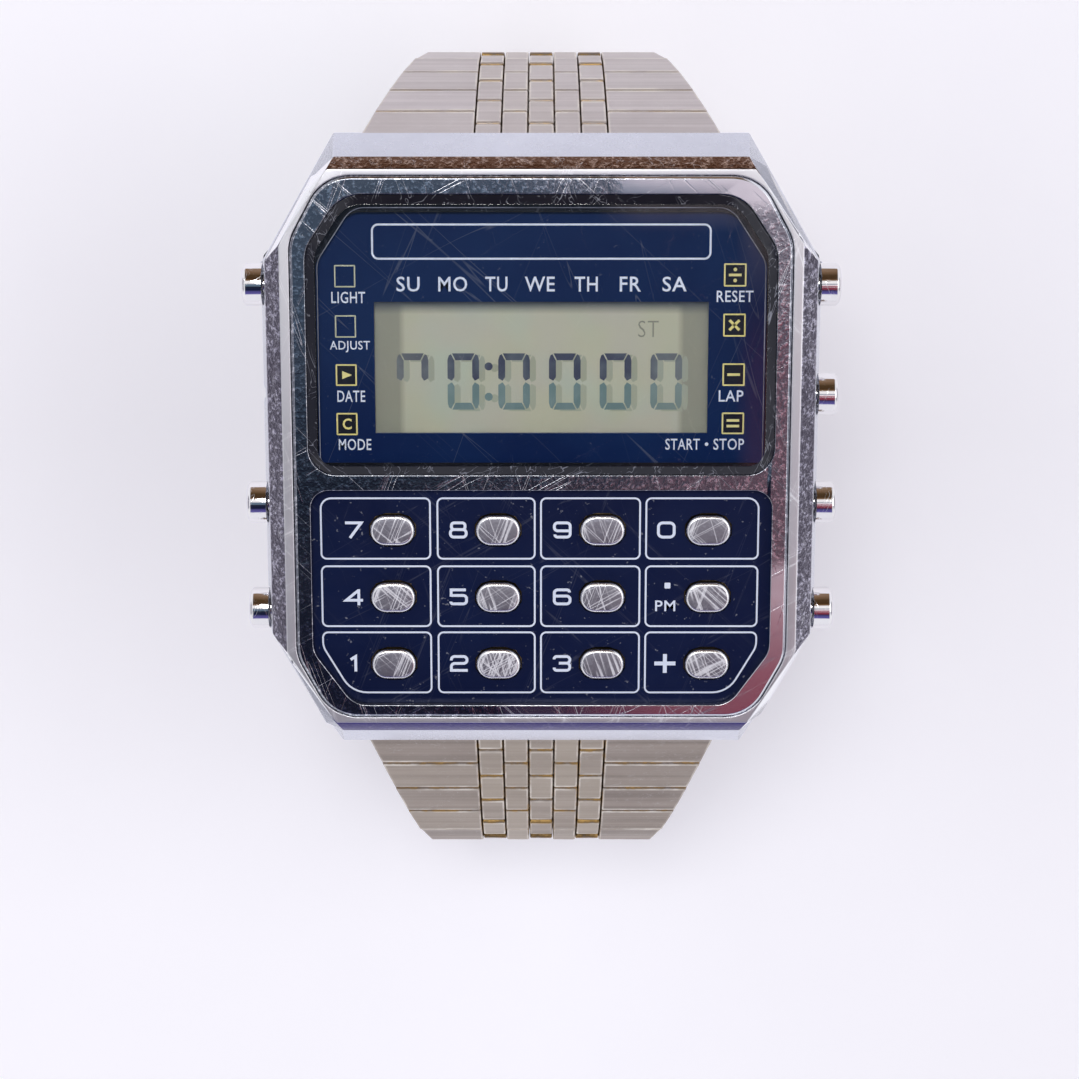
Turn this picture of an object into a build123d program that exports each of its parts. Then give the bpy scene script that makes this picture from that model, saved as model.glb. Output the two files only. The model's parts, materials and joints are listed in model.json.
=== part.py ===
from build123d import *
import math
import os

os.makedirs("parts", exist_ok=True)

# Calculator wristwatch on a five-column steel bracelet, closed and standing on its clasp.
# Millimetres. X runs across the dial, Y to 12 o'clock, Z up from the table.
# Depths are measured down from the case rim, and drops down from the outward horizontal.

# Bracelet chain
pitch = 4.3
end_gap = 0.1
link_rise = 1.15
link_bevel = 0.22
column_pitch = 1.79
link_width = 1.71
root_half_width = 12.1
taper_per_row = 0.71
clasp_end_half_width = 8.55
pin_radius = 0.45
pin_press = 0.01
pin_running = 0.04
lug_bar_cover = 0.9
upper_drops = (68, 70, 72, 75, 82, 96, 114, 134, 154)
lower_drops = (48, 48.5, 49.5, 52, 60, 74, 92, 116, 138, 160)
# Sides of the many-sided rounds, and steps in a round end
pin_sides, stem_sides, barrel_sides, head_sides, cell_sides = 6, 8, 10, 16, 20
end_steps = 5
cut_overrun = 1.0
quarter = pitch / 4
half_pitch = pitch / 2
end_radius = quarter - end_gap / 2
link_length = pitch - end_gap
link_columns = (-2 * column_pitch, 0, 2 * column_pitch)
centre_columns = (-column_pitch, column_pitch)
centre_half_width = 2.5 * column_pitch

# Where the bracelet's bars sit in the case
lug_y = 19.2
lug_depth = 4.1
slot_inner, slot_shoulder, slot_outer, slot_rise = 1.7, 0.75, 1.45, 1.65
bar_height = 2.05


def drop_total(drops):
    """How far a band half falls from its lug bar to its clasp bar."""
    full = sum(math.sin(math.radians(drop)) for drop in drops)
    return pitch * full + half_pitch * math.sin(math.radians(drops[-1]))


top_z = lug_depth + drop_total(upper_drops) + bar_height
case_y = 4.2283

# Case: a cut-cornered block whose flanks draw in towards the rim
rim_half_width, rim_half_length = 17.2, 18.6
rim_cut = (2.65, 4.9)
shoulder_depth = 0.9
shoulder_half_width, shoulder_half_length = 18.25, 19.37
shoulder_cut = (3.82, 6.77)
flank_depth = 3.75
flank_half_width, flank_half_length = 18.8, 20.9
flank_cut = (5.0, 8.6)
belly_half_width, belly_half_length = 18.5, 17.75
belly_cut = (4.2, 5.0)
case_depth = 7.6
base_half_width, base_half_length = 17.6, 17.35
base_cut = (4.0, 4.8)
seat_clearance = 0.03

# Mirror plate that frames the crystal and the keypad
plate_half_width, plate_half_length = 16.5, 18.15
plate_cut = (2.3, 4.2)
plate_rise = 0.12
plate_under = 0.6
plate_edge = 0.16
corner_fillet = 3.0
opening_half_width = 15.5
crystal_top, crystal_bottom = 17.0, -1.53
crystal_cut = (2.4, 3.6)
keypad_top, keypad_bottom = -2.57, -17.33
keypad_half_width = 15.4
keypad_cut = (2.7, 3.7)
crystal_radii = (2.6, 2.6, 1.8, 1.8, 2.6, 2.6)
keypad_radii = (1.2, 1.8, 1.8, 1.8, 1.8, 1.2)

# Crystal, gasket, dial and display
crystal_rise = 0.42
crystal_bevel = (0.62, 0.34)
crystal_fit = 0.03
seat_depth = 1.1
gasket_margin = 0.75
dial_depth, dial_thickness = 1.1, 0.3
dial_half_width, dial_top, dial_bottom = 15.3, 17.3, -2.0
dial_cut = (2.6, 3.9)
window_half_width, window_top, window_bottom = 11.05, 9.94, 1.19
glass_depth, glass_thickness = 1.42, 1.6
glass_half_width, glass_top, glass_bottom = 13.0, 12.1, -0.9
contact_strip = (23.0, 0.9)
contact_inset = 0.7

# Keypad
panel_thickness = 0.46
panel_tuck = 0.7
key_columns = (-9.99, -2.9, 4.12, 11.23)
key_rows = (-5.37, -9.97, -14.6)
key_size = (3.0, 2.05)
key_gap = 0.13
key_flange = (0.45, 0.3)
key_top_depth = 0.22
key_float = 0.03
key_edge = 0.14
key_travel = 0.4
mat_depth, mat_thickness = 2.2, 0.58
mat_half_width, mat_top, mat_bottom = 14.3, -2.4, -15.7
mat_cut = (1.7, 2.0)
mat_pad_size = (2.5, 1.6)
mat_pad_clearance = 0.06

# Cavity and module
upper_half_width, upper_half_length = 15.45, 17.6
upper_cut = (2.6, 3.9)
upper_depth = 2.2
well_depth = 2.8
well_cut = (2.0, 2.0)
cavity_half_width, cavity_half_length = 15.2, 15.9
cavity_cut = (5.2, 5.2)
module_clearance = 0.1
frame_top, frame_bottom = 2.82, 5.55
frame_notch = (1.3, 2.6)
board_top, board_bottom = 5.58, 6.18
cell_radius, cell_top, cell_bottom = 4.75, 4.55, 6.65
cell_clearance = 0.12
cell_places = ((-7.2, -7.6), (4.6, -7.6))
strap_thickness, strap_size = 0.2, (19.0, 5.0)
chip_size, chip_place, chip_height = (7.0, 7.0), (-4.0, 5.5), 0.7
tuning_can, tuning_place = (1.0, 6.0), (6.0, 7.0)
coil_size, coil_place = (3.0, 2.2), (10.0, 1.5)

# Case back, gasket and screws
back_thickness = 0.9
back_step_depth = 0.4
back_chamfer = 0.35
seal_inset, seal_width, seal_height = 0.15, 0.5, 0.35
screw_place = (14.3, 14.1)
screw_radius, screw_length = 0.6, 2.6
screw_head = (1.1, 0.5)

# Pushers
pusher_rows = tuple(10.9 - 7.38 * row for row in range(4))
pusher_depth = 3.0
pusher_radius, pusher_reach = 1.42, 19.95
pusher_seat = 18.5
pusher_counterbore = (1.52, 1.2)
pusher_dome = (0.4, 0.3)
stem_radius, stem_tip = 0.8, 15.4
stem_running = 0.05
flush_reach = 18.3

# Fold-over clasp
cover_half_width, cover_thickness, cover_height = 8.9, 0.7, 3.4
cover_wall = 0.7
cover_lip = 1.4
cover_end = 0.9
ear_reach = 0.62
bar_side_gap = 0.1
blade_half_width, blade_thickness = 6.0, 0.7
outer_blade_bottom, inner_blade_bottom = 1.2, 2.4
barrel_radius, hinge_pin_radius = 0.75, 0.35
fold_offset, snap_offset = 2.6, 2.8
fold_height = 2.15
fork_half_width = 4.75
bar_eye_radius = 0.95
knuckle_half_width = 2.9
knuckle_clearance = 0.08
barrel_clearance = 0.2
fork_depth = 1.75
blade_pin_cover = 0.1


def level(depth):
    """The plane at a depth below the case rim, centred on the dial."""
    return Plane(origin=(0, case_y, top_z - depth))


def case_side(x=0.0):
    """The plane across X whose axes are Y and Z from the rim's centre."""
    return Plane(origin=(x, case_y, top_z), x_dir=(0, 1, 0), z_dir=(1, 0, 0))


def octagon(half_width, half_length, cut):
    """Corners of a rectangle about the centre with its corners cut off."""
    return window(half_width, half_length, -half_length, cut, cut)


def window(half_width, top, bottom, top_cut, bottom_cut):
    """Corners of an outline between two lines; a cut of None leaves square corners."""
    right = []
    if top_cut:
        right += [(half_width - top_cut[0], top), (half_width, top - top_cut[1])]
    else:
        right += [(half_width, top)]
    if bottom_cut:
        right += [(half_width, bottom + bottom_cut[1]), (half_width - bottom_cut[0], bottom)]
    else:
        right += [(half_width, bottom)]
    return right + [(-x, y) for x, y in reversed(right)]


def rounded_outline(points, radii, mode=Mode.ADD):
    """Draws a closed outline with a radius at each corner in the open sketch."""
    with BuildLine() as outline:
        FilletPolyline(*points, radius=radii, close=True)
    make_face(outline.edges(), mode=mode)


def crystal_outline(inset, mode=Mode.ADD):
    """The crystal's outline: cut corners at the top, nearly square ones below."""
    points = window(
        opening_half_width - inset, crystal_top - inset, crystal_bottom + inset, crystal_cut, None
    )
    rounded_outline(points, crystal_radii, mode)


def keypad_outline(inset):
    """The keypad's outline: nearly square corners at the top, cut ones below."""
    points = window(
        keypad_half_width - inset, keypad_top - inset, keypad_bottom + inset, None, keypad_cut
    )
    rounded_outline(points, keypad_radii)


def obround(size, gap=0.0, mode=Mode.ADD):
    """Draws an outline with two round ends, each end in equal short steps."""
    radius = size[1] / 2 + gap
    turns = [math.pi * step / end_steps - math.pi / 2 for step in range(end_steps + 1)]
    end = [((size[0] - size[1]) / 2 + radius * math.cos(turn), radius * math.sin(turn)) for turn in turns]
    Polygon(*end, *[(-x, y) for x, y in reversed(end)], align=None, mode=mode)


def link_outline(centre):
    """A link's side outline: flat and bevelled outside, sloped about both pins inside."""
    half = [
        (quarter, -end_radius),
        (link_length / 2, 0),
        (link_length / 2, link_rise - link_bevel),
        (link_length / 2 - link_bevel, link_rise),
    ]
    return [(centre + u, v) for u, v in half] + [(centre - u, v) for u, v in reversed(half)]


def at_screws(radius, sides):
    """Draws a many-sided round at each of the back's four screws."""
    with GridLocations(2 * screw_place[0], 2 * screw_place[1], 2, 2):
        RegularPolygon(radius, sides)


def chain(side, drops):
    """The pivots of a band half, then its clasp bar, as (y, z) points."""
    y, z = case_y + side * lug_y, top_z - lug_depth
    points = [(y, z)]
    for drop in drops:
        y += side * pitch * math.cos(math.radians(drop))
        z -= pitch * math.sin(math.radians(drop))
        points.append((y, z))
    y += side * half_pitch * math.cos(math.radians(drops[-1]))
    z -= half_pitch * math.sin(math.radians(drops[-1]))
    return points + [(y, z)]


def finish(part, name):
    """Labels a finished piece and writes it."""
    part.part.label = name
    export_step(part.part, f"parts/{name}.step")


key_names = (("7", "8", "9", "0"), ("4", "5", "6", "point"), ("1", "2", "3", "plus"))

upper_chain = chain(1, upper_drops)
lower_chain = chain(-1, lower_drops)

# Case body
with BuildPart() as case_body:
    for depth, half_width, half_length, cut in (
        (0, rim_half_width, rim_half_length, rim_cut),
        (shoulder_depth, shoulder_half_width, shoulder_half_length, shoulder_cut),
        (flank_depth, flank_half_width, flank_half_length, flank_cut),
    ):
        with BuildSketch(level(depth)):
            Polygon(*octagon(half_width, half_length, cut))
    loft(ruled=True)
    for depth, half_width, half_length, cut in (
        (flank_depth, belly_half_width, belly_half_length, belly_cut),
        (case_depth, base_half_width, base_half_length, base_cut),
    ):
        with BuildSketch(level(depth)):
            Polygon(*octagon(half_width, half_length, cut))
    loft(ruled=True)
    # Lug knuckles, rounded about the bars, with a slot for each connecting link
    with BuildSketch(case_side()):
        for side in (1, -1):
            Polygon(
                *[(side * (lug_y - quarter + y), z - lug_depth) for y, z in link_outline(0)],
                align=None,
            )
    extrude(amount=root_half_width, both=True)
    for column in link_columns:
        with BuildSketch(case_side(column)):
            for side in (1, -1):
                Polygon(
                    (side * (lug_y - slot_inner), -case_depth),
                    (side * (lug_y - slot_inner), slot_rise - lug_depth),
                    (side * (lug_y + slot_shoulder), slot_rise - lug_depth),
                    (side * (lug_y + slot_outer), -flank_depth),
                    (side * (lug_y + slot_outer), -case_depth),
                    align=None,
                )
        extrude(amount=column_pitch / 2, both=True, mode=Mode.SUBTRACT)
    # Seat of the mirror plate, the dial's opening and the module's cavity
    with BuildSketch(level(0)):
        Polygon(*octagon(plate_half_width + seat_clearance, plate_half_length + seat_clearance, plate_cut))
        fillet(vertices(), corner_fillet + seat_clearance)
    extrude(amount=-seat_depth, mode=Mode.SUBTRACT)
    with BuildSketch(level(0)):
        Polygon(*octagon(upper_half_width, upper_half_length, upper_cut))
    extrude(amount=-upper_depth, mode=Mode.SUBTRACT)
    with BuildSketch(level(0)):
        Polygon(*octagon(cavity_half_width, cavity_half_length, well_cut))
    extrude(amount=-well_depth, mode=Mode.SUBTRACT)
    with BuildSketch(level(0)):
        Polygon(*octagon(cavity_half_width, cavity_half_length, cavity_cut))
    extrude(amount=-case_depth, mode=Mode.SUBTRACT)
    # Lug bar holes
    with BuildSketch(case_side()):
        with Locations((lug_y, -lug_depth), (-lug_y, -lug_depth)):
            RegularPolygon(pin_radius + pin_press, pin_sides)
    extrude(amount=root_half_width, both=True, mode=Mode.SUBTRACT)
    # Pusher bores; the second on the left is a plain hole for the flush pusher
    for side in (1, -1):
        for row, y in enumerate(pusher_rows):
            mouth = Plane(
                origin=(side * flank_half_width, case_y + y, top_z - pusher_depth),
                z_dir=(side, 0, 0),
            )
            with BuildSketch(mouth):
                RegularPolygon(stem_radius + stem_running, stem_sides)
            extrude(amount=cavity_half_width - flank_half_width - cut_overrun, mode=Mode.SUBTRACT)
            if (side, row) != (-1, 1):
                with BuildSketch(mouth):
                    RegularPolygon(pusher_counterbore[0], head_sides)
                extrude(amount=-pusher_counterbore[1], mode=Mode.SUBTRACT)
    # Tapped holes of the back's screws
    with BuildSketch(level(case_depth)):
        at_screws(screw_radius + pin_press, stem_sides)
    extrude(amount=screw_length, mode=Mode.SUBTRACT)
finish(case_body, "case_body")

# Mirror plate, with its rounded outer edge standing above the rim
with BuildPart() as mirror_plate:
    with BuildSketch(level(plate_under)):
        Polygon(*octagon(plate_half_width, plate_half_length, plate_cut))
        fillet(vertices(), corner_fillet)
    extrude(amount=plate_under + plate_rise)
    chamfer(faces().sort_by(Axis.Z)[-1].edges(), plate_edge)
    with BuildSketch(level(plate_under)):
        crystal_outline(0)
        keypad_outline(0)
    extrude(amount=plate_under + plate_rise, mode=Mode.SUBTRACT)
finish(mirror_plate, "mirror_plate")

# Mineral crystal with a bevelled rim
with BuildPart() as crystal:
    with BuildSketch(level(seat_depth)):
        crystal_outline(crystal_fit)
    extrude(amount=seat_depth + crystal_rise)
    face = faces().sort_by(Axis.Z)[-1]
    chamfer(face.edges(), crystal_bevel[0], crystal_bevel[1], reference=face)
finish(crystal, "crystal")

# Gasket round the crystal, between the mirror plate and the case's ledge
with BuildPart() as crystal_gasket:
    with BuildSketch(level(seat_depth)):
        Polygon(
            *window(
                opening_half_width + gasket_margin,
                crystal_top + gasket_margin,
                crystal_bottom - gasket_margin / 2,
                crystal_cut,
                None,
            ),
            align=None,
        )
        crystal_outline(-crystal_fit, Mode.SUBTRACT)
    extrude(amount=seat_depth - plate_under)
finish(crystal_gasket, "crystal_gasket")

# Dial plate with the display's window
with BuildPart() as dial_plate:
    with BuildSketch(level(dial_depth + dial_thickness)):
        Polygon(*window(dial_half_width, dial_top, dial_bottom, dial_cut, None), align=None)
        Polygon(
            *window(window_half_width, window_top, window_bottom, None, None),
            align=None,
            mode=Mode.SUBTRACT,
        )
    extrude(amount=dial_thickness)
finish(dial_plate, "dial_plate")

# Liquid-crystal cell
with BuildPart() as display_glass:
    with BuildSketch(level(glass_depth + glass_thickness)):
        Polygon(*window(glass_half_width, glass_top, glass_bottom, None, None), align=None)
    extrude(amount=glass_thickness)
finish(display_glass, "display_glass")

# Rubber contact strips from the cell's two long edges down to the board
with BuildPart() as contact_strips:
    with BuildSketch(level(board_top)):
        for y in (glass_top - contact_inset, glass_bottom + contact_inset):
            with Locations((0, y)):
                Rectangle(*contact_strip)
    extrude(amount=board_top - glass_depth - glass_thickness)
finish(contact_strips, "contact_strips")

# Keypad panel with a slot for each key
key_places = [(x, y) for y in key_rows for x in key_columns]
with BuildPart() as keypad_panel:
    with BuildSketch(level(seat_depth)):
        Polygon(
            *window(
                keypad_half_width + panel_tuck,
                keypad_top + panel_tuck / 2,
                keypad_bottom - panel_tuck / 2,
                None,
                keypad_cut,
            ),
            align=None,
        )
        with Locations(*key_places):
            obround(key_size, key_gap, Mode.SUBTRACT)
    extrude(amount=panel_thickness)
finish(keypad_panel, "keypad_panel")


def key_button(place):
    """A metal key: an obround head on a flange held under the panel."""
    with BuildPart() as key:
        flange_top = seat_depth + key_float
        with BuildSketch(level(flange_top + key_flange[1])):
            with Locations(place):
                Rectangle(key_size[0] + 2 * key_flange[0], key_size[1] + 2 * key_flange[0])
        extrude(amount=key_flange[1])
        with BuildSketch(level(flange_top)):
            with Locations(place):
                obround(key_size)
        extrude(amount=flange_top - key_top_depth)
        chamfer(faces().sort_by(Axis.Z)[-1].edges(), key_edge)
    return key


for row, names in zip(key_rows, key_names):
    for column, name in zip(key_columns, names):
        finish(key_button((column, row)), f"key_{name}")

# Silicone sheet with a pad under each key
with BuildPart() as key_mat:
    with BuildSketch(level(mat_depth + mat_thickness)):
        Polygon(*window(mat_half_width, mat_top, mat_bottom, None, mat_cut), align=None)
    extrude(amount=mat_thickness)
    pad_top = seat_depth + key_float + key_flange[1] + key_travel + mat_pad_clearance
    with BuildSketch(level(mat_depth)):
        with Locations(*key_places):
            Rectangle(*mat_pad_size)
    extrude(amount=mat_depth - pad_top)
finish(key_mat, "key_mat")

# Module frame: a moulded block with seats for the display and the cells
with BuildPart() as module_frame:
    with BuildSketch(level(frame_bottom)):
        Polygon(
            *octagon(
                cavity_half_width - module_clearance,
                cavity_half_length - module_clearance,
                cavity_cut,
            )
        )
    extrude(amount=frame_bottom - frame_top)
    with BuildSketch(level(frame_top)):
        Polygon(
            *window(
                glass_half_width + module_clearance,
                glass_top + module_clearance,
                glass_bottom - module_clearance,
                None,
                None,
            ),
            align=None,
        )
    extrude(amount=-(glass_depth + glass_thickness - frame_top), mode=Mode.SUBTRACT)
    with BuildSketch(level(frame_bottom)):
        for y in (glass_top - contact_inset, glass_bottom + contact_inset):
            with Locations((0, y)):
                Rectangle(contact_strip[0] + module_clearance, contact_strip[1] + module_clearance)
        for y in pusher_rows:
            for side in (1, -1):
                with Locations((side * cavity_half_width, y)):
                    Rectangle(2 * frame_notch[0], frame_notch[1])
    extrude(amount=frame_bottom - frame_top, mode=Mode.SUBTRACT)
    with BuildSketch(level(frame_bottom)):
        with Locations(*cell_places):
            RegularPolygon(cell_radius + cell_clearance, cell_sides)
    extrude(amount=frame_bottom - cell_top, mode=Mode.SUBTRACT)
finish(module_frame, "module_frame")

# Circuit board, and the chip, quartz can and coil on its back
with BuildPart() as circuit_board:
    with BuildSketch(level(board_bottom)):
        Polygon(
            *octagon(
                cavity_half_width - module_clearance,
                cavity_half_length - module_clearance,
                cavity_cut,
            )
        )
        with Locations(*cell_places):
            RegularPolygon(cell_radius + cell_clearance, cell_sides, mode=Mode.SUBTRACT)
    extrude(amount=board_bottom - board_top)
finish(circuit_board, "circuit_board")

with BuildPart() as board_components:
    with BuildSketch(level(board_bottom)):
        with Locations(chip_place):
            Rectangle(*chip_size)
        with Locations(coil_place):
            Rectangle(*coil_size)
    extrude(amount=-chip_height)
    can_plane = Plane(
        origin=(tuning_place[0], case_y + tuning_place[1], top_z - board_bottom - tuning_can[0] / 2),
        x_dir=(0, 1, 0),
        z_dir=(1, 0, 0),
    )
    with BuildSketch(can_plane):
        RegularPolygon(tuning_can[0] / 2, stem_sides)
    extrude(amount=tuning_can[1])
finish(board_components, "board_components")

# Button cells and the strap that holds them
with BuildPart() as button_cells:
    with BuildSketch(level(cell_bottom)):
        with Locations(*cell_places):
            RegularPolygon(cell_radius, cell_sides)
    extrude(amount=cell_bottom - cell_top)
finish(button_cells, "button_cells")

with BuildPart() as cell_strap:
    strap_centre = ((cell_places[0][0] + cell_places[1][0]) / 2, cell_places[0][1])
    with BuildSketch(level(cell_bottom + strap_thickness)):
        with Locations(strap_centre):
            obround(strap_size)
    extrude(amount=strap_thickness)
finish(cell_strap, "cell_strap")

# Case back with its locating step, seal groove and screw holes
with BuildPart() as case_back:
    with BuildSketch(level(case_depth + back_thickness)):
        Polygon(*octagon(base_half_width, base_half_length, base_cut))
    extrude(amount=back_thickness)
    chamfer(faces().sort_by(Axis.Z)[0].edges(), back_chamfer)
    seal_inner = cavity_half_width + seal_inset, cavity_half_length + seal_inset
    seal_outer = seal_inner[0] + seal_width, seal_inner[1] + seal_width
    with BuildSketch(level(case_depth)):
        Polygon(*octagon(*seal_outer, cavity_cut))
        Polygon(*octagon(*seal_inner, cavity_cut), mode=Mode.SUBTRACT)
    extrude(amount=-seal_height, mode=Mode.SUBTRACT)
    with BuildSketch(level(case_depth)):
        Polygon(
            *octagon(
                cavity_half_width - module_clearance,
                cavity_half_length - module_clearance,
                cavity_cut,
            )
        )
    extrude(amount=back_step_depth)
    for radius, sides, depth in (
        (screw_radius + pin_running, stem_sides, back_thickness),
        (screw_head[0] + pin_running, barrel_sides, screw_head[1]),
    ):
        with BuildSketch(level(case_depth + back_thickness)):
            at_screws(radius, sides)
        extrude(amount=depth, mode=Mode.SUBTRACT)
finish(case_back, "case_back")

with BuildPart() as back_seal:
    with BuildSketch(level(case_depth)):
        Polygon(*octagon(*seal_outer, cavity_cut))
        Polygon(*octagon(*seal_inner, cavity_cut), mode=Mode.SUBTRACT)
    extrude(amount=-seal_height)
finish(back_seal, "back_seal")

with BuildPart() as back_screws:
    for radius, sides, length in (
        (screw_head[0], barrel_sides, screw_head[1]),
        (screw_radius, stem_sides, screw_length),
    ):
        with BuildSketch(level(case_depth + back_thickness)):
            at_screws(radius, sides)
        extrude(amount=length)
finish(back_screws, "back_screws")


def pusher(side, y, flush):
    """A side pusher: a domed head on a stem, or the flush one's plain stem."""
    reach = flush_reach if flush else pusher_seat
    seat = Plane(origin=(side * reach, case_y + y, top_z - pusher_depth), z_dir=(side, 0, 0))
    with BuildPart() as button:
        with BuildSketch(seat):
            RegularPolygon(stem_radius, stem_sides)
        extrude(amount=stem_tip - reach)
        if not flush:
            with BuildSketch(seat):
                RegularPolygon(pusher_radius, head_sides)
            extrude(amount=pusher_reach - pusher_seat)
            end = faces().sort_by(Axis.X)[-1 if side > 0 else 0]
            chamfer(end.edges(), pusher_dome[0], pusher_dome[1], reference=end)
    return button


for side, names in ((-1, ("light", "adjust", "date", "mode")), (1, ("divide", "times", "minus", "equals"))):
    for y, name in zip(pusher_rows, names):
        finish(pusher(side, y, name == "adjust"), f"pusher_{name}")

# The two bars that carry the bracelet in the case's lugs
with BuildPart() as lug_bars:
    with BuildSketch(case_side()):
        with Locations((lug_y, -lug_depth), (-lug_y, -lug_depth)):
            RegularPolygon(pin_radius, pin_sides)
    extrude(amount=root_half_width - lug_bar_cover, both=True)
finish(lug_bars, "lug_bars")


def running_hole():
    """The corner radius of a hole that a bracelet pin turns in freely."""
    return (pin_radius + pin_running) / math.cos(math.pi / pin_sides)


def link_profile(centre, holes):
    """Draws a link's side outline with its pin holes."""
    Polygon(*link_outline(centre), align=None)
    for place, radius in holes:
        with Locations((place, 0)):
            RegularPolygon(radius, pin_sides, mode=Mode.SUBTRACT)


def band_row(side, index, pivot, drop, last):
    """A bracelet row: outer links on their pins, centre links and connecting links."""
    angle = math.radians(drop)
    heading = (0, side * math.cos(angle), -math.sin(angle))
    outward = (0, side * math.sin(angle), math.cos(angle))
    near = max(root_half_width - taper_per_row * index, clasp_end_half_width)
    far = max(root_half_width - taper_per_row * (index + 1), clasp_end_half_width)
    start = quarter + end_gap / 2
    end = start + link_length
    inner = centre_half_width + (column_pitch - link_width) / 2
    pressed = pin_radius + pin_press

    def across(x):
        return Plane(origin=(x, *pivot), x_dir=heading, z_dir=(side, 0, 0))

    with BuildPart() as row:
        # Outer links, narrowing towards the clasp, riveted on the row's two pins
        with BuildSketch(across(0)):
            link_profile(quarter + half_pitch, ())
        extrude(amount=near, both=True)
        with BuildSketch(Plane(origin=(0, *pivot), x_dir=heading, z_dir=outward)):
            for hand in (1, -1):
                Polygon(
                    (start, hand * inner),
                    (end, hand * inner),
                    (end, hand * far),
                    (start, hand * near),
                    align=None,
                )
        extrude(amount=2 * link_rise, both=True, mode=Mode.INTERSECT)
        with BuildSketch(across(0)):
            with Locations((half_pitch, 0), (pitch, 0)):
                RegularPolygon(pin_radius, pin_sides)
        extrude(amount=inner, both=True)
        for column in centre_columns:
            with BuildSketch(across(column)):
                link_profile(quarter + half_pitch, ((half_pitch, pressed), (pitch, pressed)))
            extrude(amount=link_width / 2, both=True)
        for column in link_columns:
            with BuildSketch(across(column)):
                link_profile(quarter, ((0, running_hole()), (half_pitch, pressed)))
            extrude(amount=link_width / 2, both=True)
            if last:
                # The connecting links that take the clasp's bar
                bar_hole = pressed if side > 0 else running_hole()
                with BuildSketch(across(column)):
                    link_profile(quarter + pitch, ((pitch, pressed), (pitch + half_pitch, bar_hole)))
                extrude(amount=link_width / 2, both=True)
        if last and side > 0:
            with BuildSketch(across(0)):
                with Locations((pitch + half_pitch, 0)):
                    RegularPolygon(pin_radius, pin_sides)
            extrude(amount=cover_half_width - cover_wall - bar_side_gap, both=True)
    return row


for label, side, drops, points in (
    ("upper", 1, upper_drops, upper_chain),
    ("lower", -1, lower_drops, lower_chain),
):
    for index, drop in enumerate(drops):
        row = band_row(side, index, points[index], drop, index == len(drops) - 1)
        finish(row, f"{label}_row_{index + 1}")

# Clasp: a cover plate over two blades that fold on each other
bar_y, bar_z = lower_chain[-1]
ear_y, ear_z = upper_chain[-1]
fold_y = ear_y - fold_offset
snap_y, snap_z = bar_y + snap_offset, outer_blade_bottom + blade_thickness / 2


def clasp_side(x=0.0):
    """The plane across X whose axes are Y and Z of the table frame."""
    return Plane(origin=(x, 0, 0), x_dir=(0, 1, 0), z_dir=(1, 0, 0))


def strip(half_width, start, end, inner=0.0, mode=Mode.ADD):
    """Draws a band of the clasp between two Y values, or the two bands beside its middle."""
    for hand in (1, -1):
        Polygon(
            (hand * inner, start),
            (hand * half_width, start),
            (hand * half_width, end),
            (hand * inner, end),
            align=None,
            mode=mode,
        )


with BuildPart() as inner_blade:
    with BuildSketch(Plane.XY.offset(inner_blade_bottom)):
        strip(blade_half_width, bar_y, fold_y)
        strip(fork_half_width, bar_y, bar_y + fork_depth, mode=Mode.SUBTRACT)
        strip(
            knuckle_half_width + knuckle_clearance,
            fold_y - barrel_radius - barrel_clearance,
            fold_y,
            mode=Mode.SUBTRACT,
        )
    extrude(amount=blade_thickness)
    eye_middle = (blade_half_width + fork_half_width) / 2
    for x in (eye_middle, -eye_middle):
        with BuildSketch(clasp_side(x)):
            with Locations((bar_y, bar_z)):
                RegularPolygon(bar_eye_radius, barrel_sides)
        extrude(amount=(blade_half_width - fork_half_width) / 2, both=True)
    knuckle_inner = knuckle_half_width + knuckle_clearance
    knuckle_middle = (blade_half_width + knuckle_inner) / 2
    for x in (knuckle_middle, -knuckle_middle):
        with BuildSketch(clasp_side(x)):
            with Locations((fold_y, fold_height)):
                RegularPolygon(barrel_radius, barrel_sides)
        extrude(amount=(blade_half_width - knuckle_inner) / 2, both=True)
    with BuildSketch(clasp_side()):
        with Locations((bar_y, bar_z)):
            RegularPolygon(pin_radius + pin_press, pin_sides)
        with Locations((fold_y, fold_height)):
            Circle(hinge_pin_radius + pin_press)
    extrude(amount=blade_half_width, both=True, mode=Mode.SUBTRACT)
    with BuildSketch(clasp_side()):
        with Locations((bar_y, bar_z)):
            RegularPolygon(pin_radius, pin_sides)
        with Locations((fold_y, fold_height)):
            Circle(hinge_pin_radius)
    extrude(amount=blade_half_width - blade_pin_cover, both=True)
finish(inner_blade, "clasp_inner_blade")

with BuildPart() as outer_blade:
    with BuildSketch(Plane.XY.offset(outer_blade_bottom)):
        strip(blade_half_width, snap_y, fold_y)
        strip(
            blade_half_width,
            fold_y - barrel_radius - barrel_clearance,
            fold_y,
            knuckle_half_width,
            mode=Mode.SUBTRACT,
        )
    extrude(amount=blade_thickness)
    with BuildSketch(clasp_side()):
        with Locations((snap_y, snap_z)):
            RegularPolygon(barrel_radius, barrel_sides)
    extrude(amount=blade_half_width, both=True)
    with BuildSketch(clasp_side()):
        with Locations((fold_y, fold_height)):
            RegularPolygon(barrel_radius, barrel_sides)
    extrude(amount=knuckle_half_width, both=True)
    with BuildSketch(clasp_side()):
        with Locations((snap_y, snap_z), (fold_y, fold_height)):
            Circle(hinge_pin_radius + pin_running)
    extrude(amount=blade_half_width, both=True, mode=Mode.SUBTRACT)
finish(outer_blade, "clasp_outer_blade")

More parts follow.
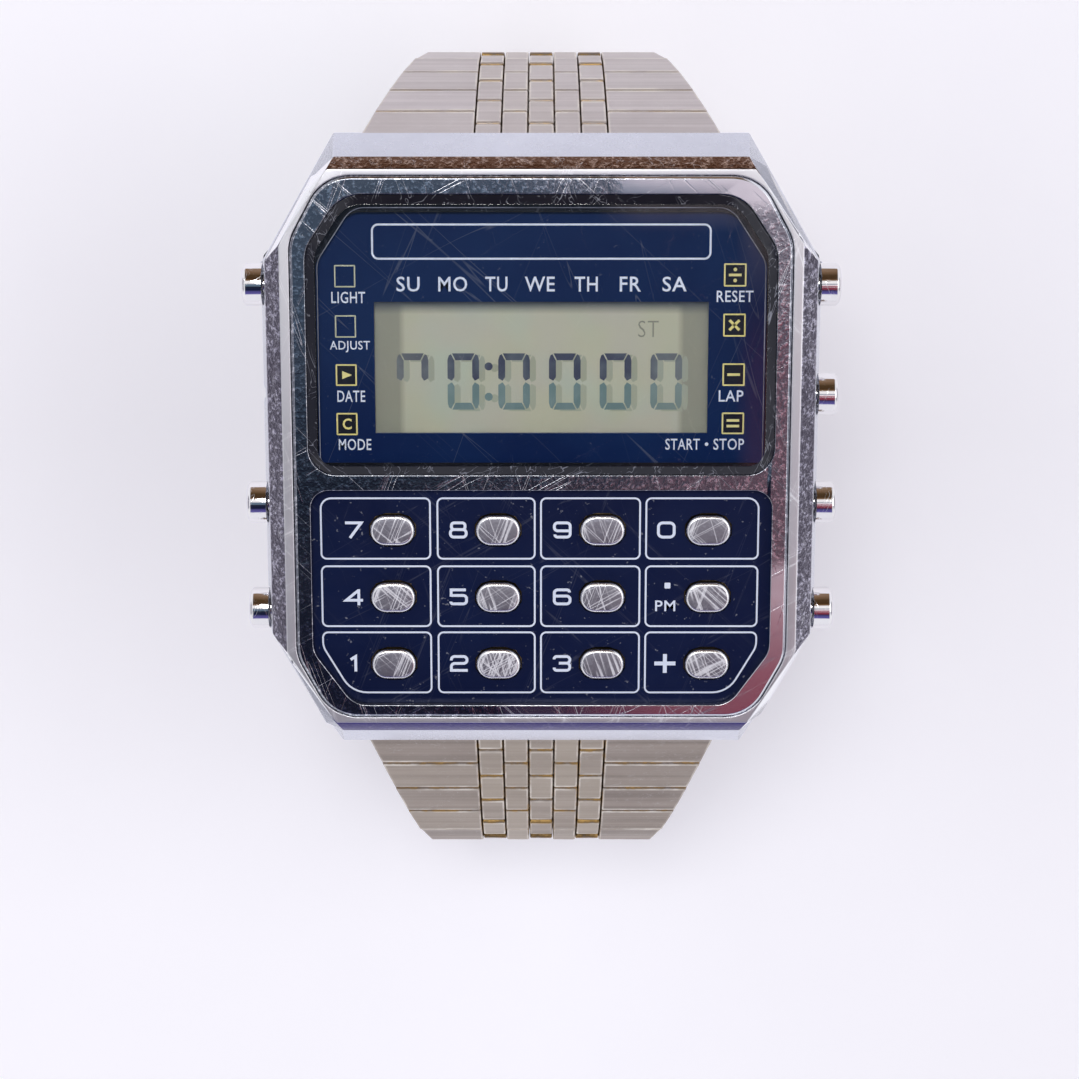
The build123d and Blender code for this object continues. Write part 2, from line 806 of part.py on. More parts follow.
with BuildPart() as clasp_cover:
    with BuildSketch(Plane.XY):
        strip(cover_half_width, snap_y + cover_lip, fold_y + cover_end)
    extrude(amount=cover_thickness)
    wall_middle = cover_half_width - cover_wall / 2
    for x in (wall_middle, -wall_middle):
        with BuildSketch(clasp_side(x)):
            Polygon(
                (snap_y, 0),
                (snap_y - barrel_radius - ear_reach, snap_z - barrel_radius),
                (snap_y - barrel_radius - ear_reach, snap_z + barrel_radius),
                (snap_y, cover_height),
                (fold_y + cover_lip, cover_height),
                (ear_y + ear_reach, ear_z + ear_reach),
                (ear_y + ear_reach, ear_z - ear_reach),
                (fold_y + cover_lip, 0),
                align=None,
            )
            with Locations((snap_y, snap_z)):
                Circle(hinge_pin_radius + pin_press, mode=Mode.SUBTRACT)
        extrude(amount=cover_wall / 2, both=True)
    with BuildSketch(clasp_side()):
        with Locations((snap_y, snap_z)):
            Circle(hinge_pin_radius)
    extrude(amount=cover_half_width - blade_pin_cover, both=True)
finish(clasp_cover, "clasp_cover")
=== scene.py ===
"""A calculator watch on a steel link bracelet, standing on its closed folding clasp.

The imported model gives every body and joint. This script dresses it: bracelet links with
rounded edges, the dial and keypad prints, the display's segments, and a finish for each piece.
Sizes are in millimetres in the code and in metres in the meshes.
"""

import json
import logging
import math
from dataclasses import dataclass, field
from enum import Enum
from typing import Any, Callable, Sequence

import bmesh
import bpy
import numpy as np
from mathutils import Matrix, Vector

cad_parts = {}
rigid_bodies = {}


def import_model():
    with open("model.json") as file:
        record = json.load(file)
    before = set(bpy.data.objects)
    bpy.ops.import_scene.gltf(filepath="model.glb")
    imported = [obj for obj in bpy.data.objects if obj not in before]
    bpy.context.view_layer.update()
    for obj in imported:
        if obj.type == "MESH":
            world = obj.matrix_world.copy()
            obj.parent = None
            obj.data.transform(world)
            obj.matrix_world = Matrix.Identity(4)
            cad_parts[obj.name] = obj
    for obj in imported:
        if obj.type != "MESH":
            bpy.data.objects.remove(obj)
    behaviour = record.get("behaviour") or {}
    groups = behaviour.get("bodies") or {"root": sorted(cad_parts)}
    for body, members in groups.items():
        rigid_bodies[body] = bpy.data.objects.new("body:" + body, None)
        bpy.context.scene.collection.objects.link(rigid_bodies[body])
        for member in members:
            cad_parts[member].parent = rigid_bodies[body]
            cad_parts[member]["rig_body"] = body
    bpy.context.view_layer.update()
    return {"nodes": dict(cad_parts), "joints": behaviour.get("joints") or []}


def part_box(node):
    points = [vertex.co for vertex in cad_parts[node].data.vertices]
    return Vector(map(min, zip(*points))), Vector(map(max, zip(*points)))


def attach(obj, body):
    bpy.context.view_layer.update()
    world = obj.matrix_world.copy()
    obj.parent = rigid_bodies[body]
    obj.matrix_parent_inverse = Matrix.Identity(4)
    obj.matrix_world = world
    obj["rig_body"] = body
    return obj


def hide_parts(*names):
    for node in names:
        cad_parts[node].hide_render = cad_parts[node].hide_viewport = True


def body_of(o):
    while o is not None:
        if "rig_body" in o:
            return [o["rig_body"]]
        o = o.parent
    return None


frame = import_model()

LOG = logging.getLogger("watch")
MM = 0.001
SHARP_EDGE = math.radians(40.0)
FLAT_EDGE = math.radians(1.0)
DOUBLE_POINT = 0.001 * MM
Colour = tuple[float, float, float]
Flat = tuple[np.ndarray, Sequence[Sequence[int]]]
Outline = Sequence[tuple[float, float]] | np.ndarray


# Node helpers


class Graph:
    """Adds and links the nodes of one material or node group."""

    def __init__(self, tree: bpy.types.NodeTree) -> None:
        """Starts on the tree that the nodes go into."""
        self.tree = tree

    def feed(self, target: bpy.types.Node, values: dict[Any, Any]) -> None:
        """Fills a node's inputs, by name or number, each with a plain value or another node's output."""
        for name, value in values.items():
            if isinstance(value, bpy.types.NodeSocket):
                self.tree.links.new(value, target.inputs[name])
            else:
                target.inputs[name].default_value = value

    def node(self, kind: str, inputs: dict[Any, Any] | None = None, **settings: Any) -> bpy.types.Node:
        """Adds a node, sets its options and fills its inputs.

        Args:
            kind: The node's type name without its ShaderNode prefix.
            inputs: Values or sockets by input name or number.
            **settings: Options set on the node itself.

        Returns:
            The new node.
        """
        made = self.tree.nodes.new("ShaderNode" + kind)
        for name, value in settings.items():
            setattr(made, name, value)
        self.feed(made, inputs or {})
        return made

    def math(self, operation: str, first: Any, second: Any = 0.0, clamp: bool = False) -> bpy.types.NodeSocket:
        """Adds a Math node and returns its output."""
        return self.node("Math", {0: first, 1: second}, operation=operation, use_clamp=clamp).outputs[0]

    def plus(self, first: Any, second: Any, clamp: bool = False) -> bpy.types.NodeSocket:
        """Adds two values."""
        return self.math("ADD", first, second, clamp)

    def minus(self, first: Any, second: Any, clamp: bool = False) -> bpy.types.NodeSocket:
        """Takes the second value from the first."""
        return self.math("SUBTRACT", first, second, clamp)

    def times(self, first: Any, second: Any, clamp: bool = False) -> bpy.types.NodeSocket:
        """Multiplies two values."""
        return self.math("MULTIPLY", first, second, clamp)

    def size(self, value: Any) -> bpy.types.NodeSocket:
        """Drops a value's sign."""
        return self.math("ABSOLUTE", value)

    def split(self, vector: Any) -> Any:
        """Splits a vector into its x, y and z."""
        return self.node("SeparateXYZ", {0: vector}).outputs

    def scaled(self, vector: Any, factor: float) -> bpy.types.NodeSocket:
        """Scales a vector."""
        return self.node("VectorMath", {0: vector, 3: factor}, operation="SCALE").outputs[0]

    def ramp(
        self, value: Any, low: float, high: float, to_low: float = 0.0, to_high: float = 1.0,
    ) -> bpy.types.NodeSocket:
        """Maps a value from one range to another, clamped, and returns the output."""
        names = {0: value, 1: low, 2: high, 3: to_low, 4: to_high}
        return self.node("MapRange", names, clamp=True).outputs[0]

    def window(self, value: Any, low: float, full: float, fading: float, end: float) -> bpy.types.NodeSocket:
        """Gives 1 between two values and 0 beyond them, with a ramp at each side."""
        return self.times(self.ramp(value, low, full), self.ramp(value, fading, end, 1.0, 0.0))

    def mix(self, share: Any, first: Any, second: Any) -> bpy.types.NodeSocket:
        """Mixes two colours and returns the output."""
        first, second = ((*part, 1.0) if isinstance(part, tuple) else part for part in (first, second))
        return self.node("Mix", {0: share, 6: first, 7: second}, data_type="RGBA").outputs[2]

    def stops(self, value: Any, colours: Sequence[tuple[float, Colour]]) -> bpy.types.NodeSocket:
        """Adds a colour ramp through the given places and colours, and returns its output."""
        made = self.node("ValToRGB", {0: value})
        marks = made.color_ramp.elements
        marks.remove(marks[1])
        for number, (place, colour) in enumerate(colours):
            mark = marks.new(place) if number else marks[0]
            mark.position, mark.color = place, (*colour, 1.0)
        return made.outputs[0]

    def noise(self, vector: Any, scale: float, detail: float = 2.0, roughness: float = 0.5) -> bpy.types.NodeSocket:
        """Adds a noise texture and returns its value."""
        values = {"Vector": vector, "Scale": scale, "Detail": detail, "Roughness": roughness}
        return self.node("TexNoise", values).outputs["Fac"]

    def bump(self, strength: Any, depth: float, height: Any, under: Any = None) -> bpy.types.NodeSocket:
        """Adds relief of a depth in metres, over another relief if there is one."""
        inputs = {"Strength": strength, "Distance": depth, "Height": height}
        if under is not None:
            inputs["Normal"] = under
        return self.node("Bump", inputs).outputs[0]


def node_group(name: str, inputs: dict[str, tuple[str, Any]], outputs: Sequence[str]) -> tuple[Graph, Any, Any]:
    """Starts a shader node group with named sockets.

    Args:
        name: The group's name.
        inputs: Socket kind and default value by name.
        outputs: Names of the value outputs.

    Returns:
        The group's graph, its input node and its output node.
    """
    tree = bpy.data.node_groups.new(name, "ShaderNodeTree")
    for label, (kind, value) in inputs.items():
        socket = tree.interface.new_socket(label, in_out="INPUT", socket_type="NodeSocket" + kind)
        if kind != "Vector":
            socket.default_value = value
    for label in outputs:
        tree.interface.new_socket(label, in_out="OUTPUT", socket_type="NodeSocketFloat")
    return Graph(tree), tree.nodes.new("NodeGroupInput"), tree.nodes.new("NodeGroupOutput")


def brushed_grain() -> bpy.types.NodeTree:
    """Builds the grain of brushed metal: noise stretched along one axis.

    Returns:
        A group with Vector and Along in, and Lines and Bands out.
    """
    inputs = {"Vector": ("Vector", None), "Along": ("Vector", None)}
    graph, given, result = node_group("brushed_grain", inputs, ("Lines", "Bands"))
    stretched = graph.node("VectorMath", {0: given.outputs[0], 1: given.outputs[1]}, operation="MULTIPLY").outputs[0]
    fine, coarse = graph.noise(stretched, 1.0, 3.0, 0.6), graph.noise(stretched, 0.22)
    graph.feed(result, {"Lines": graph.ramp(fine, 0.32, 0.68), "Bands": graph.ramp(coarse, 0.3, 0.7)})
    return graph.tree


def hairline_scratches() -> bpy.types.NodeTree:
    """Builds sparse thin scratches: the narrow crest of stretched, turned noise, four ways.

    Returns:
        A group with Vector, Amount, Width and Gap in, and Mask out.
    """
    inputs = {"Vector": ("Vector", None), "Amount": ("Float", 0.5), "Width": ("Float", 0.02), "Gap": ("Float", 0.58)}
    graph, given, result = node_group("hairline_scratches", inputs, ("Mask",))
    place, amount, width, gap = (given.outputs[name] for name in inputs)
    total: Any = 0.0
    for turn, stretch, start in ((0.5, 26.0, 0.01), (-0.75, 34.0, 0.031), (1.9, 20.0, 0.077), (1.2, 40.0, 0.05)):
        lay = {"Location": (start, start, 0.0), "Rotation": (0.0, 0.0, turn), "Scale": (stretch, 1.0, 1.0)}
        turned = graph.node("Mapping", {"Vector": place, **lay}, vector_type="TEXTURE").outputs[0]
        ridge = graph.size(graph.minus(graph.noise(turned, 2600.0, 1.0), 0.5))
        line = graph.ramp(ridge, 0.0, width, 1.0, 0.0)
        gate = graph.ramp(graph.noise(turned, 900.0, 1.0), gap, graph.plus(gap, 0.08))
        total = graph.plus(total, graph.times(line, gate), clamp=True)
    graph.feed(result, {"Mask": graph.times(total, amount, clamp=True)})
    return graph.tree


def pitted_skin() -> bpy.types.NodeTree:
    """Builds the speckle of worn plating: crowded small pits and a few larger ones.

    Returns:
        A group with Vector in, and Height and Specks out.
    """
    graph, given, result = node_group("pitted_skin", {"Vector": ("Vector", None)}, ("Height", "Specks"))
    fine = graph.noise(given.outputs[0], 5200.0, 3.0, 0.65)
    crowd = graph.noise(given.outputs[0], 2300.0, 2.0, 0.6)
    specks = graph.ramp(graph.times(fine, crowd), 0.25, 0.36)
    graph.feed(result, {"Height": graph.plus(fine, graph.times(crowd, 1.4)), "Specks": specks})
    return graph.tree


def soft_blotches() -> bpy.types.NodeTree:
    """Builds slow tone changes, as of handling and haze: two sizes of soft noise.

    Returns:
        A group with Vector in, and Large and Small out.
    """
    graph, given, result = node_group("soft_blotches", {"Vector": ("Vector", None)}, ("Large", "Small"))
    large = graph.ramp(graph.noise(given.outputs[0], 130.0, 3.0), 0.35, 0.65)
    small = graph.ramp(graph.noise(given.outputs[0], 900.0, 4.0, 0.65), 0.3, 0.7)
    graph.feed(result, {"Large": large, "Small": small})
    return graph.tree


class Shared(Enum):
    """The node groups that several finishes use."""

    GRAIN = "brushed_grain"
    SCRATCHES = "hairline_scratches"
    BLOTCHES = "soft_blotches"
    PITS = "pitted_skin"


BUILDERS: dict[Shared, Callable[[], bpy.types.NodeTree]] = {
    Shared.GRAIN: brushed_grain,
    Shared.SCRATCHES: hairline_scratches,
    Shared.BLOTCHES: soft_blotches,
    Shared.PITS: pitted_skin,
}


def shared(graph: Graph, which: Shared, inputs: dict[str, Any]) -> bpy.types.Node:
    """Places a shared group in a material, and builds it at its first use.

    Args:
        graph: The material's graph.
        which: The group to place.
        inputs: Its input values or sockets.

    Returns:
        The group node.
    """
    tree = bpy.data.node_groups.get(which.value) or BUILDERS[which]()
    return graph.node("Group", inputs, node_tree=tree)


# Finishes


SCRATCH_GLINT = (0.92, 0.92, 0.95)
WARM_FILM = (0.5, 0.44, 0.36)
# Rubbed edges: real wear, lightened further as a painted highlight.
RUBBED_EDGE_AND_HIGHLIGHT = (0.8, 0.76, 0.68)
DARK_SOIL = (0.08, 0.055, 0.03)
RUSTY_SOIL = (0.42, 0.27, 0.1)
PAINT_MARK = (0.45, 0.47, 0.55)
DUST = (0.6, 0.62, 0.68)
FLOOR_GLOW = (0.93, 0.925, 0.97, 1.0)
GRAIN_DEPTH = 0.00002


@dataclass(frozen=True)
class Finish:
    """A surface finish, whose material is built at its first use."""

    name: str

    def nodes(self, graph: Graph, body: bpy.types.Node, place: bpy.types.NodeSocket) -> None:
        """Lays the nodes of this kind of finish.

        Args:
            graph: The material's graph.
            body: Its Principled BSDF.
            place: The object coordinates.
        """
        raise NotImplementedError

    def material(self) -> bpy.types.Material:
        """Builds the material at its first use and returns it."""
        made = bpy.data.materials.get(self.name)
        if made is None:
            made = bpy.data.materials.new(self.name)
            made.use_nodes = True
            graph = Graph(made.node_tree)
            self.nodes(graph, made.node_tree.nodes["Principled BSDF"], graph.node("TexCoord").outputs["Object"])
        return made


@dataclass(frozen=True)
class SteelFinish(Finish):
    """Steel in one of its states, from mirror polished to brushed and worn.

    Args:
        name: The material's name.
        tint: The metal's colour; on the top and low chamfers it also holds a painted reflection.
        shade: The colour of its dull or dirty patches; on those chamfers it also holds a painted reflection.
        roughness: How matt it is.
        stretch: Scale of the brushed grain along each axis, per metre.
        grain: Depth of the grain, from 0 to 1.
        scratches: Strength of hairline scratches.
        blotches: How much the patches show.
        mark_width: Width of the scratches, as a share of their spacing.
        mark_gap: How bare the metal is between them, from 0 to 1.
        mark_size: Fineness of the scratches against the usual.
        waviness: Slow unevenness of a pressed polished sheet, in metres.
        pits: Depth of the worn plating's speckle, in metres.
        stain_and_reflection: Colour that gathers in the pits: a real stain, and on the top and low chamfers a painted
            reflection.
        stain_and_reflection_share: How much of that colour there is.
        smooth: Boxes without pits or stain_and_reflection: low and high x, then low and high y from the case's centre,
            in mm.
        dirt: How far dirt comes out of the gaps; the piece has edge_grime, link_tone and open_side attributes.
    """

    tint: Colour
    shade: Colour
    roughness: float = 0.3
    stretch: Colour = (60.0, 5200.0, 5200.0)
    grain: float = 0.25
    scratches: float = 0.3
    blotches: float = 0.4
    mark_width: float = 0.02
    mark_gap: float = 0.58
    mark_size: float = 1.0
    waviness: float = 0.0
    pits: float = 0.0
    stain_and_reflection: Colour = (0.12, 0.1, 0.1)
    stain_and_reflection_share: float = 0.0
    smooth: tuple[tuple[float, float, float, float], ...] = ()
    dirt: float = 0.0

    def pitted(self, graph: Graph, place: bpy.types.NodeSocket) -> Any:
        """Measures how far the plating is worn: 1 all over, and 0 in the smooth boxes.

        Args:
            graph: The material's graph.
            place: The object coordinates.

        Returns:
            A value or a socket from 0 to 1.
        """
        if not self.smooth:
            return 1.0
        worn: Any = 1.0
        x, y, _ = graph.split(place)
        for left, right, low, high in self.smooth:
            left, right, low, high = left * MM, right * MM, (CASE.y + low) * MM, (CASE.y + high) * MM
            across = graph.window(x, left, left + MM, right - MM, right)
            along = graph.window(y, low, low + MM, high - MM, high)
            worn = graph.minus(worn, graph.times(across, along), clamp=True)
        return worn

    def soiled(self, graph: Graph, place: bpy.types.NodeSocket, colour: Any) -> bpy.types.NodeSocket:
        """Lays a warm film, rubbed edges with a painted highlight, and the dirt of the gaps over the links' colour.

        Args:
            graph: The material's graph.
            place: The object coordinates.
            colour: The clean colour.

        Returns:
            The soiled colour.
        """
        near, tone, rubbed = (
            graph.node("Attribute", attribute_name=name).outputs["Fac"]
            for name in ("edge_grime", "link_tone", "open_side")
        )
        colour = graph.mix(graph.times(tone, min(0.7, 0.1 + 0.6 * self.dirt)), colour, WARM_FILM)
        patchy = graph.ramp(graph.noise(place, 380.0, 3.0, 0.6), 0.4, 0.62, 0.15, 0.9)
        # Rubbed edges: real wear, lightened further as a painted highlight where the links' rounded edges catch the
        # light.
        colour = graph.mix(graph.times(graph.window(near, 0.05, 0.4, 0.5, 0.8), patchy), colour, RUBBED_EDGE_AND_HIGHLIGHT)
        spots = graph.ramp(graph.noise(place, 620.0, 4.0, 0.7), 0.36, 0.64)
        reach = graph.plus(near, graph.times(spots, self.dirt * 0.35))
        soil = graph.times(graph.ramp(reach, 0.68, 1.05), graph.ramp(rubbed, 0.0, 1.0, 1.0, 0.12))
        return graph.mix(soil, colour, graph.mix(spots, DARK_SOIL, RUSTY_SOIL))

    def nodes(self, graph: Graph, body: bpy.types.Node, place: bpy.types.NodeSocket) -> None:
        """Lays patches, grain and scratches, then pits, dirt and waves where the steel has them."""
        grain = shared(graph, Shared.GRAIN, {"Vector": place, "Along": self.stretch}).outputs
        spread = graph.scaled(place, self.mark_size)
        settings = {"Vector": spread, "Amount": self.scratches, "Width": self.mark_width, "Gap": self.mark_gap}
        marks = shared(graph, Shared.SCRATCHES, settings).outputs[0]
        haze = shared(graph, Shared.BLOTCHES, {"Vector": place}).outputs
        patch = graph.times(haze["Large"], self.blotches)
        patch = graph.plus(patch, graph.times(haze["Small"], self.blotches * 0.35), clamp=True)
        light = tuple(min(1.0, part * (1.25 + 0.4 * self.dirt)) for part in self.tint)
        colour = graph.mix(patch, self.tint, self.shade)
        colour = graph.mix(graph.times(grain["Bands"], self.grain * 0.5), colour, light)
        height = graph.minus(graph.times(grain["Lines"], self.grain), graph.times(marks, 0.9))
        relief = graph.bump(0.35, GRAIN_DEPTH, height)
        if self.pits:
            skin = shared(graph, Shared.PITS, {"Vector": place}).outputs
            worn = self.pitted(graph, place)
            # Between the pits the colour moves to the stain colour: a real stain, and on the top and low chamfers a
            # painted reflection.
            between = graph.minus(self.stain_and_reflection_share, graph.times(skin["Specks"], self.stain_and_reflection_share))
            colour = graph.mix(graph.times(between, worn), colour, self.stain_and_reflection)
            relief = graph.bump(worn, self.pits, skin["Height"], relief)
        colour = graph.mix(graph.times(marks, 0.8), colour, SCRATCH_GLINT)
        if self.dirt:
            colour = self.soiled(graph, place, colour)
        if self.waviness:
            relief = graph.bump(1.0, self.waviness, graph.noise(place, 170.0, 3.0, 0.55), relief)
        rough = graph.plus(graph.times(grain["Lines"], 0.12 * self.grain), self.roughness)
        rough = graph.plus(rough, graph.times(patch, 0.12))
        rough = graph.plus(rough, graph.times(marks, 0.25), clamp=True)
        graph.feed(body, {"Base Color": colour, "Roughness": rough, "Normal": relief, "Metallic": 1.0})


@dataclass(frozen=True)
class PaintFinish(Finish):
    """Paint, print, rubber or moulded plastic.

    Args:
        name: The material's name.
        tint: The main colour.
        shade: The colour of its uneven patches.
        roughness: How matt it is.
        patches: How much the patches show.
        scratches: Strength of hairline scratches.
        specks: How much fine pale dust lies on it.
        relief: Depth of its fine surface in metres.
        gloss: Strength of its plain reflection.
        scratch_scale: Size of the scratches against the usual; under 1 they are longer and wider.
        painted_glow: Painted light: how much paler the floor alone looks to the camera and in metal and glass;
        it is a little stronger on the left, and above and below the watch, as a painted pool of light.
    """

    tint: Colour
    shade: Colour
    roughness: float = 0.4
    patches: float = 0.5
    scratches: float = 0.0
    specks: float = 0.0
    relief: float = 0.000004
    gloss: float = 0.5
    scratch_scale: float = 1.0
    painted_glow: float = 0.0

    def nodes(self, graph: Graph, body: bpy.types.Node, place: bpy.types.NodeSocket) -> None:
        """Lays patches and fine relief, then scratches, dust and the floor's painted glow where it has them."""
        haze = shared(graph, Shared.BLOTCHES, {"Vector": place}).outputs
        colour = graph.mix(graph.times(haze["Large"], self.patches), self.tint, self.shade)
        rough = graph.plus(graph.times(haze["Small"], 0.08), self.roughness)
        if self.scratches:
            spread = graph.scaled(place, self.scratch_scale)
            settings = {"Vector": spread, "Amount": self.scratches, "Width": 0.02 * self.scratch_scale}
            marks = shared(graph, Shared.SCRATCHES, settings).outputs[0]
            colour = graph.mix(marks, colour, PAINT_MARK)
            rough = graph.plus(rough, graph.times(marks, 0.3), clamp=True)
        if self.specks:
            dust = graph.ramp(graph.noise(place, 2600.0, 2.0, 0.7), 0.68, 0.74)
            colour = graph.mix(graph.times(dust, self.specks), colour, DUST)
        relief = graph.bump(0.4, self.relief, haze["Small"])
        graph.feed(body, {
            "Base Color": colour, "Roughness": rough, "Normal": relief, "Specular IOR Level": self.gloss,
        })
        # Painted light: the floor glows to the camera and in metal and glass, evenly in part, and more on the left and
        # towards the ends.
        if self.painted_glow:
            rays = graph.node("LightPath").outputs
            seen = graph.plus(rays["Is Camera Ray"], rays["Is Glossy Ray"], clamp=True)
            seen = graph.plus(seen, rays["Is Transmission Ray"], clamp=True)
            x, y, _ = graph.split(place)
            ends = graph.ramp(graph.size(y), 0.0, 0.045, 0.0, 0.075)
            tilt = graph.plus(ends, graph.ramp(x, -0.045, 0.045, 0.03, -0.03))
            strength = graph.times(seen, graph.plus(tilt, self.painted_glow))
            graph.feed(body, {"Emission Strength": strength, "Emission Color": FLOOR_GLOW})


@dataclass(frozen=True)
class GlassFinish(Finish):
    """Clear mineral glass that lets the lamps reach the dial."""

    tint: Colour = (0.97, 0.985, 1.0)

    def nodes(self, graph: Graph, body: bpy.types.Node, place: bpy.types.NodeSocket) -> None:
        """Lays scratched clear glass, which is see-through to the lamps' shadow rays."""
        marks = shared(graph, Shared.SCRATCHES, {"Vector": place, "Amount": 0.55}).outputs[0]
        rough = graph.times(marks, 0.3)
        graph.feed(body, {"Base Color": (*self.tint, 1.0), "Transmission Weight": 1.0, "IOR": 1.5, "Roughness": rough})
        clear = graph.node("BsdfTransparent", {"Color": (*self.tint, 1.0)})
        lamp_ray = graph.node("LightPath").outputs["Is Shadow Ray"]
        either = graph.node("MixShader", {0: lamp_ray, 1: body.outputs[0], 2: clear.outputs[0]})
        graph.feed(graph.tree.nodes["Material Output"], {"Surface": either.outputs[0]})


@dataclass(frozen=True)
class DisplayFinish(Finish):
    """The grey-green display: shaded at its top and side margins, with faint rainbow tints."""

    name: str = "display_face"
    middle: Colour = (0.34, 0.33, 0.23)
    margin: Colour = (0.16, 0.155, 0.11)
    pink: Colour = (0.34, 0.31, 0.27)
    green: Colour = (0.27, 0.36, 0.29)
    shadow: Colour = (0.03, 0.035, 0.04)
    half_width: float = 9.0
    top: float = 9.6

    def nodes(self, graph: Graph, body: bpy.types.Node, place: bpy.types.NodeSocket) -> None:
        """Lays the tints over the middle colour, then the darker margins."""
        x, y, _ = graph.split(place)
        side = graph.ramp(graph.size(x), self.half_width * MM, (self.half_width + 0.45) * MM, 0.0, 0.8)
        upper = graph.ramp(y, (CASE.y + self.top - 0.5) * MM, (CASE.y + self.top + 0.2) * MM)
        colour = graph.mix(graph.ramp(graph.noise(place, 260.0, 1.0), 0.4, 0.62, 0.0, 0.4), self.middle, self.pink)
        colour = graph.mix(graph.ramp(graph.noise(place, 210.0, 1.0), 0.5, 0.7, 0.0, 0.35), colour, self.green)
        colour = graph.mix(upper, graph.mix(side, colour, self.margin), self.shadow)
        graph.feed(body, {"Base Color": colour, "Roughness": 0.35})


@dataclass(frozen=True)
class SegmentFinish(Finish):
    """Display segments: dark navy in the upper half of a digit, faded teal below."""

    upper: Colour
    lower: Colour
    pale: Colour = (0.24, 0.25, 0.2)
    uneven: Colour = (0.2, 0.25, 0.24)
    middle: float = 4.62

    def nodes(self, graph: Graph, body: bpy.types.Node, place: bpy.types.NodeSocket) -> None:
        """Lays the two tones, paler towards the display's sides and a little uneven."""
        x, y, _ = graph.split(place)
        level = graph.ramp(y, (CASE.y + self.middle - 0.12) * MM, (CASE.y + self.middle + 0.12) * MM)
        fade = graph.ramp(graph.size(x), 5.5 * MM, 9.6 * MM, 0.0, 0.3)
        colour = graph.mix(fade, graph.mix(level, self.lower, self.upper), self.pale)
        colour = graph.mix(graph.ramp(graph.noise(place, 700.0, 2.0), 0.4, 0.7, 0.0, 0.25), colour, self.uneven)
        graph.feed(body, {"Base Color": colour, "Roughness": 0.4})


BAND = SteelFinish("brushed_band", (0.56, 0.52, 0.52), (0.46, 0.42, 0.42), 0.4, grain=1.0, scratches=0.2, dirt=0.3)
# Painted shade: the lower half's steel is a darker copy of the upper band's, with more dirt.
BAND_LOW = SteelFinish("worn_band", (0.29, 0.25, 0.22), (0.2, 0.165, 0.14), 0.4, grain=1.0, scratches=0.2, dirt=1.1)
CASE_STEEL = SteelFinish("satin_case", (0.66, 0.68, 0.75), (0.58, 0.6, 0.67), 0.22, (4200.0, 60.0, 4200.0), 0.25, 0.3)
RIM = SteelFinish("rim_steel", (0.68, 0.68, 0.7), (0.52, 0.51, 0.55), 0.34, grain=0.0, scratches=0.6, blotches=0.5)
SIDE_CHAMFER = SteelFinish(
    "side_chamfer_steel", (0.7, 0.68, 0.78), (0.42, 0.4, 0.48), 0.12, grain=0.0, scratches=0.4, blotches=0.5,
    pits=0.00004, stain_and_reflection=(0.05, 0.04, 0.06), stain_and_reflection_share=0.75,
)
# Painted reflection: the top chamfer's brown tint, shade and stain stand for the brown surroundings it mirrors, over
# real pitting.
TOP_CHAMFER = SteelFinish(
    "top_chamfer_steel", (0.52, 0.4, 0.34), (0.3, 0.19, 0.13), 0.14, grain=0.0, scratches=0.5, blotches=0.6,
    pits=0.00004, stain_and_reflection=(0.11, 0.045, 0.02), stain_and_reflection_share=0.95,
)
# Painted reflection: the low chamfer's violet tint, shade and stain stand for the violet surroundings it mirrors.
LOW_CHAMFER = SteelFinish(
    "low_chamfer_steel", (0.03, 0.022, 0.16), (0.045, 0.035, 0.19), 0.12, grain=0.0, scratches=0.15, blotches=0.5,
    pits=0.00001, stain_and_reflection=(0.03, 0.022, 0.1), stain_and_reflection_share=0.4,
)
FACET = SteelFinish(
    "polished_facets", (0.95, 0.95, 0.97), (0.8, 0.8, 0.83), 0.14, grain=0.0, scratches=0.5, blotches=0.2,
)
MIRROR = SteelFinish(
    "mirror_frame", (0.78, 0.79, 0.84), (0.6, 0.6, 0.66), 0.1, grain=0.0, scratches=0.6, blotches=0.3, mark_width=0.012,
    waviness=0.000007, pits=0.000006, stain_and_reflection=(0.1, 0.12, 0.16), stain_and_reflection_share=0.7,
    smooth=((4.5, 24.0, 15.6, 24.0), (-3.0, 24.0, -24.0, -7.0)),
)
BACK = SteelFinish("brushed_back", (0.62, 0.61, 0.6), (0.5, 0.49, 0.48), 0.3, (60.0, 3800.0, 3800.0), 0.5, 0.5)
KEY_TOP = SteelFinish(
    "scratched_key_top", (0.36, 0.36, 0.41), (0.26, 0.26, 0.29), 0.34, (900.0, 900.0, 900.0), 0.2, 0.9, 0.8, 0.05, 0.5,
    1.1, pits=0.000006, stain_and_reflection=(0.2, 0.19, 0.22), stain_and_reflection_share=0.5,
)
KEY_EDGE = SteelFinish("key_edge_steel", (0.92, 0.92, 0.93), (0.7, 0.7, 0.72), 0.22, grain=0.0, scratches=0.4)
KEY_WALL = SteelFinish("key_wall_steel", (0.34, 0.26, 0.15), (0.08, 0.06, 0.035), 0.4, grain=0.0, blotches=1.0)
PUSHER = SteelFinish(
    "polished_pusher", (0.86, 0.85, 0.86), (0.7, 0.68, 0.68), 0.06, grain=0.0, scratches=0.3, blotches=0.3,
)
PIN = SteelFinish("turned_pin", (0.55, 0.54, 0.53), (0.4, 0.39, 0.38), 0.3, grain=0.2)
CELL = SteelFinish("plated_cell", (0.72, 0.71, 0.7), (0.55, 0.54, 0.53), 0.22, grain=0.1)
BRASS = SteelFinish("spring_brass", (0.74, 0.58, 0.3), (0.5, 0.38, 0.2), 0.28, grain=0.3)
NAVY = PaintFinish(
    "dial_navy", (0.005, 0.027, 0.14), (0.01, 0.045, 0.18), 0.4, 0.8, 0.25, 0.1, gloss=0.1, scratch_scale=0.35,
)
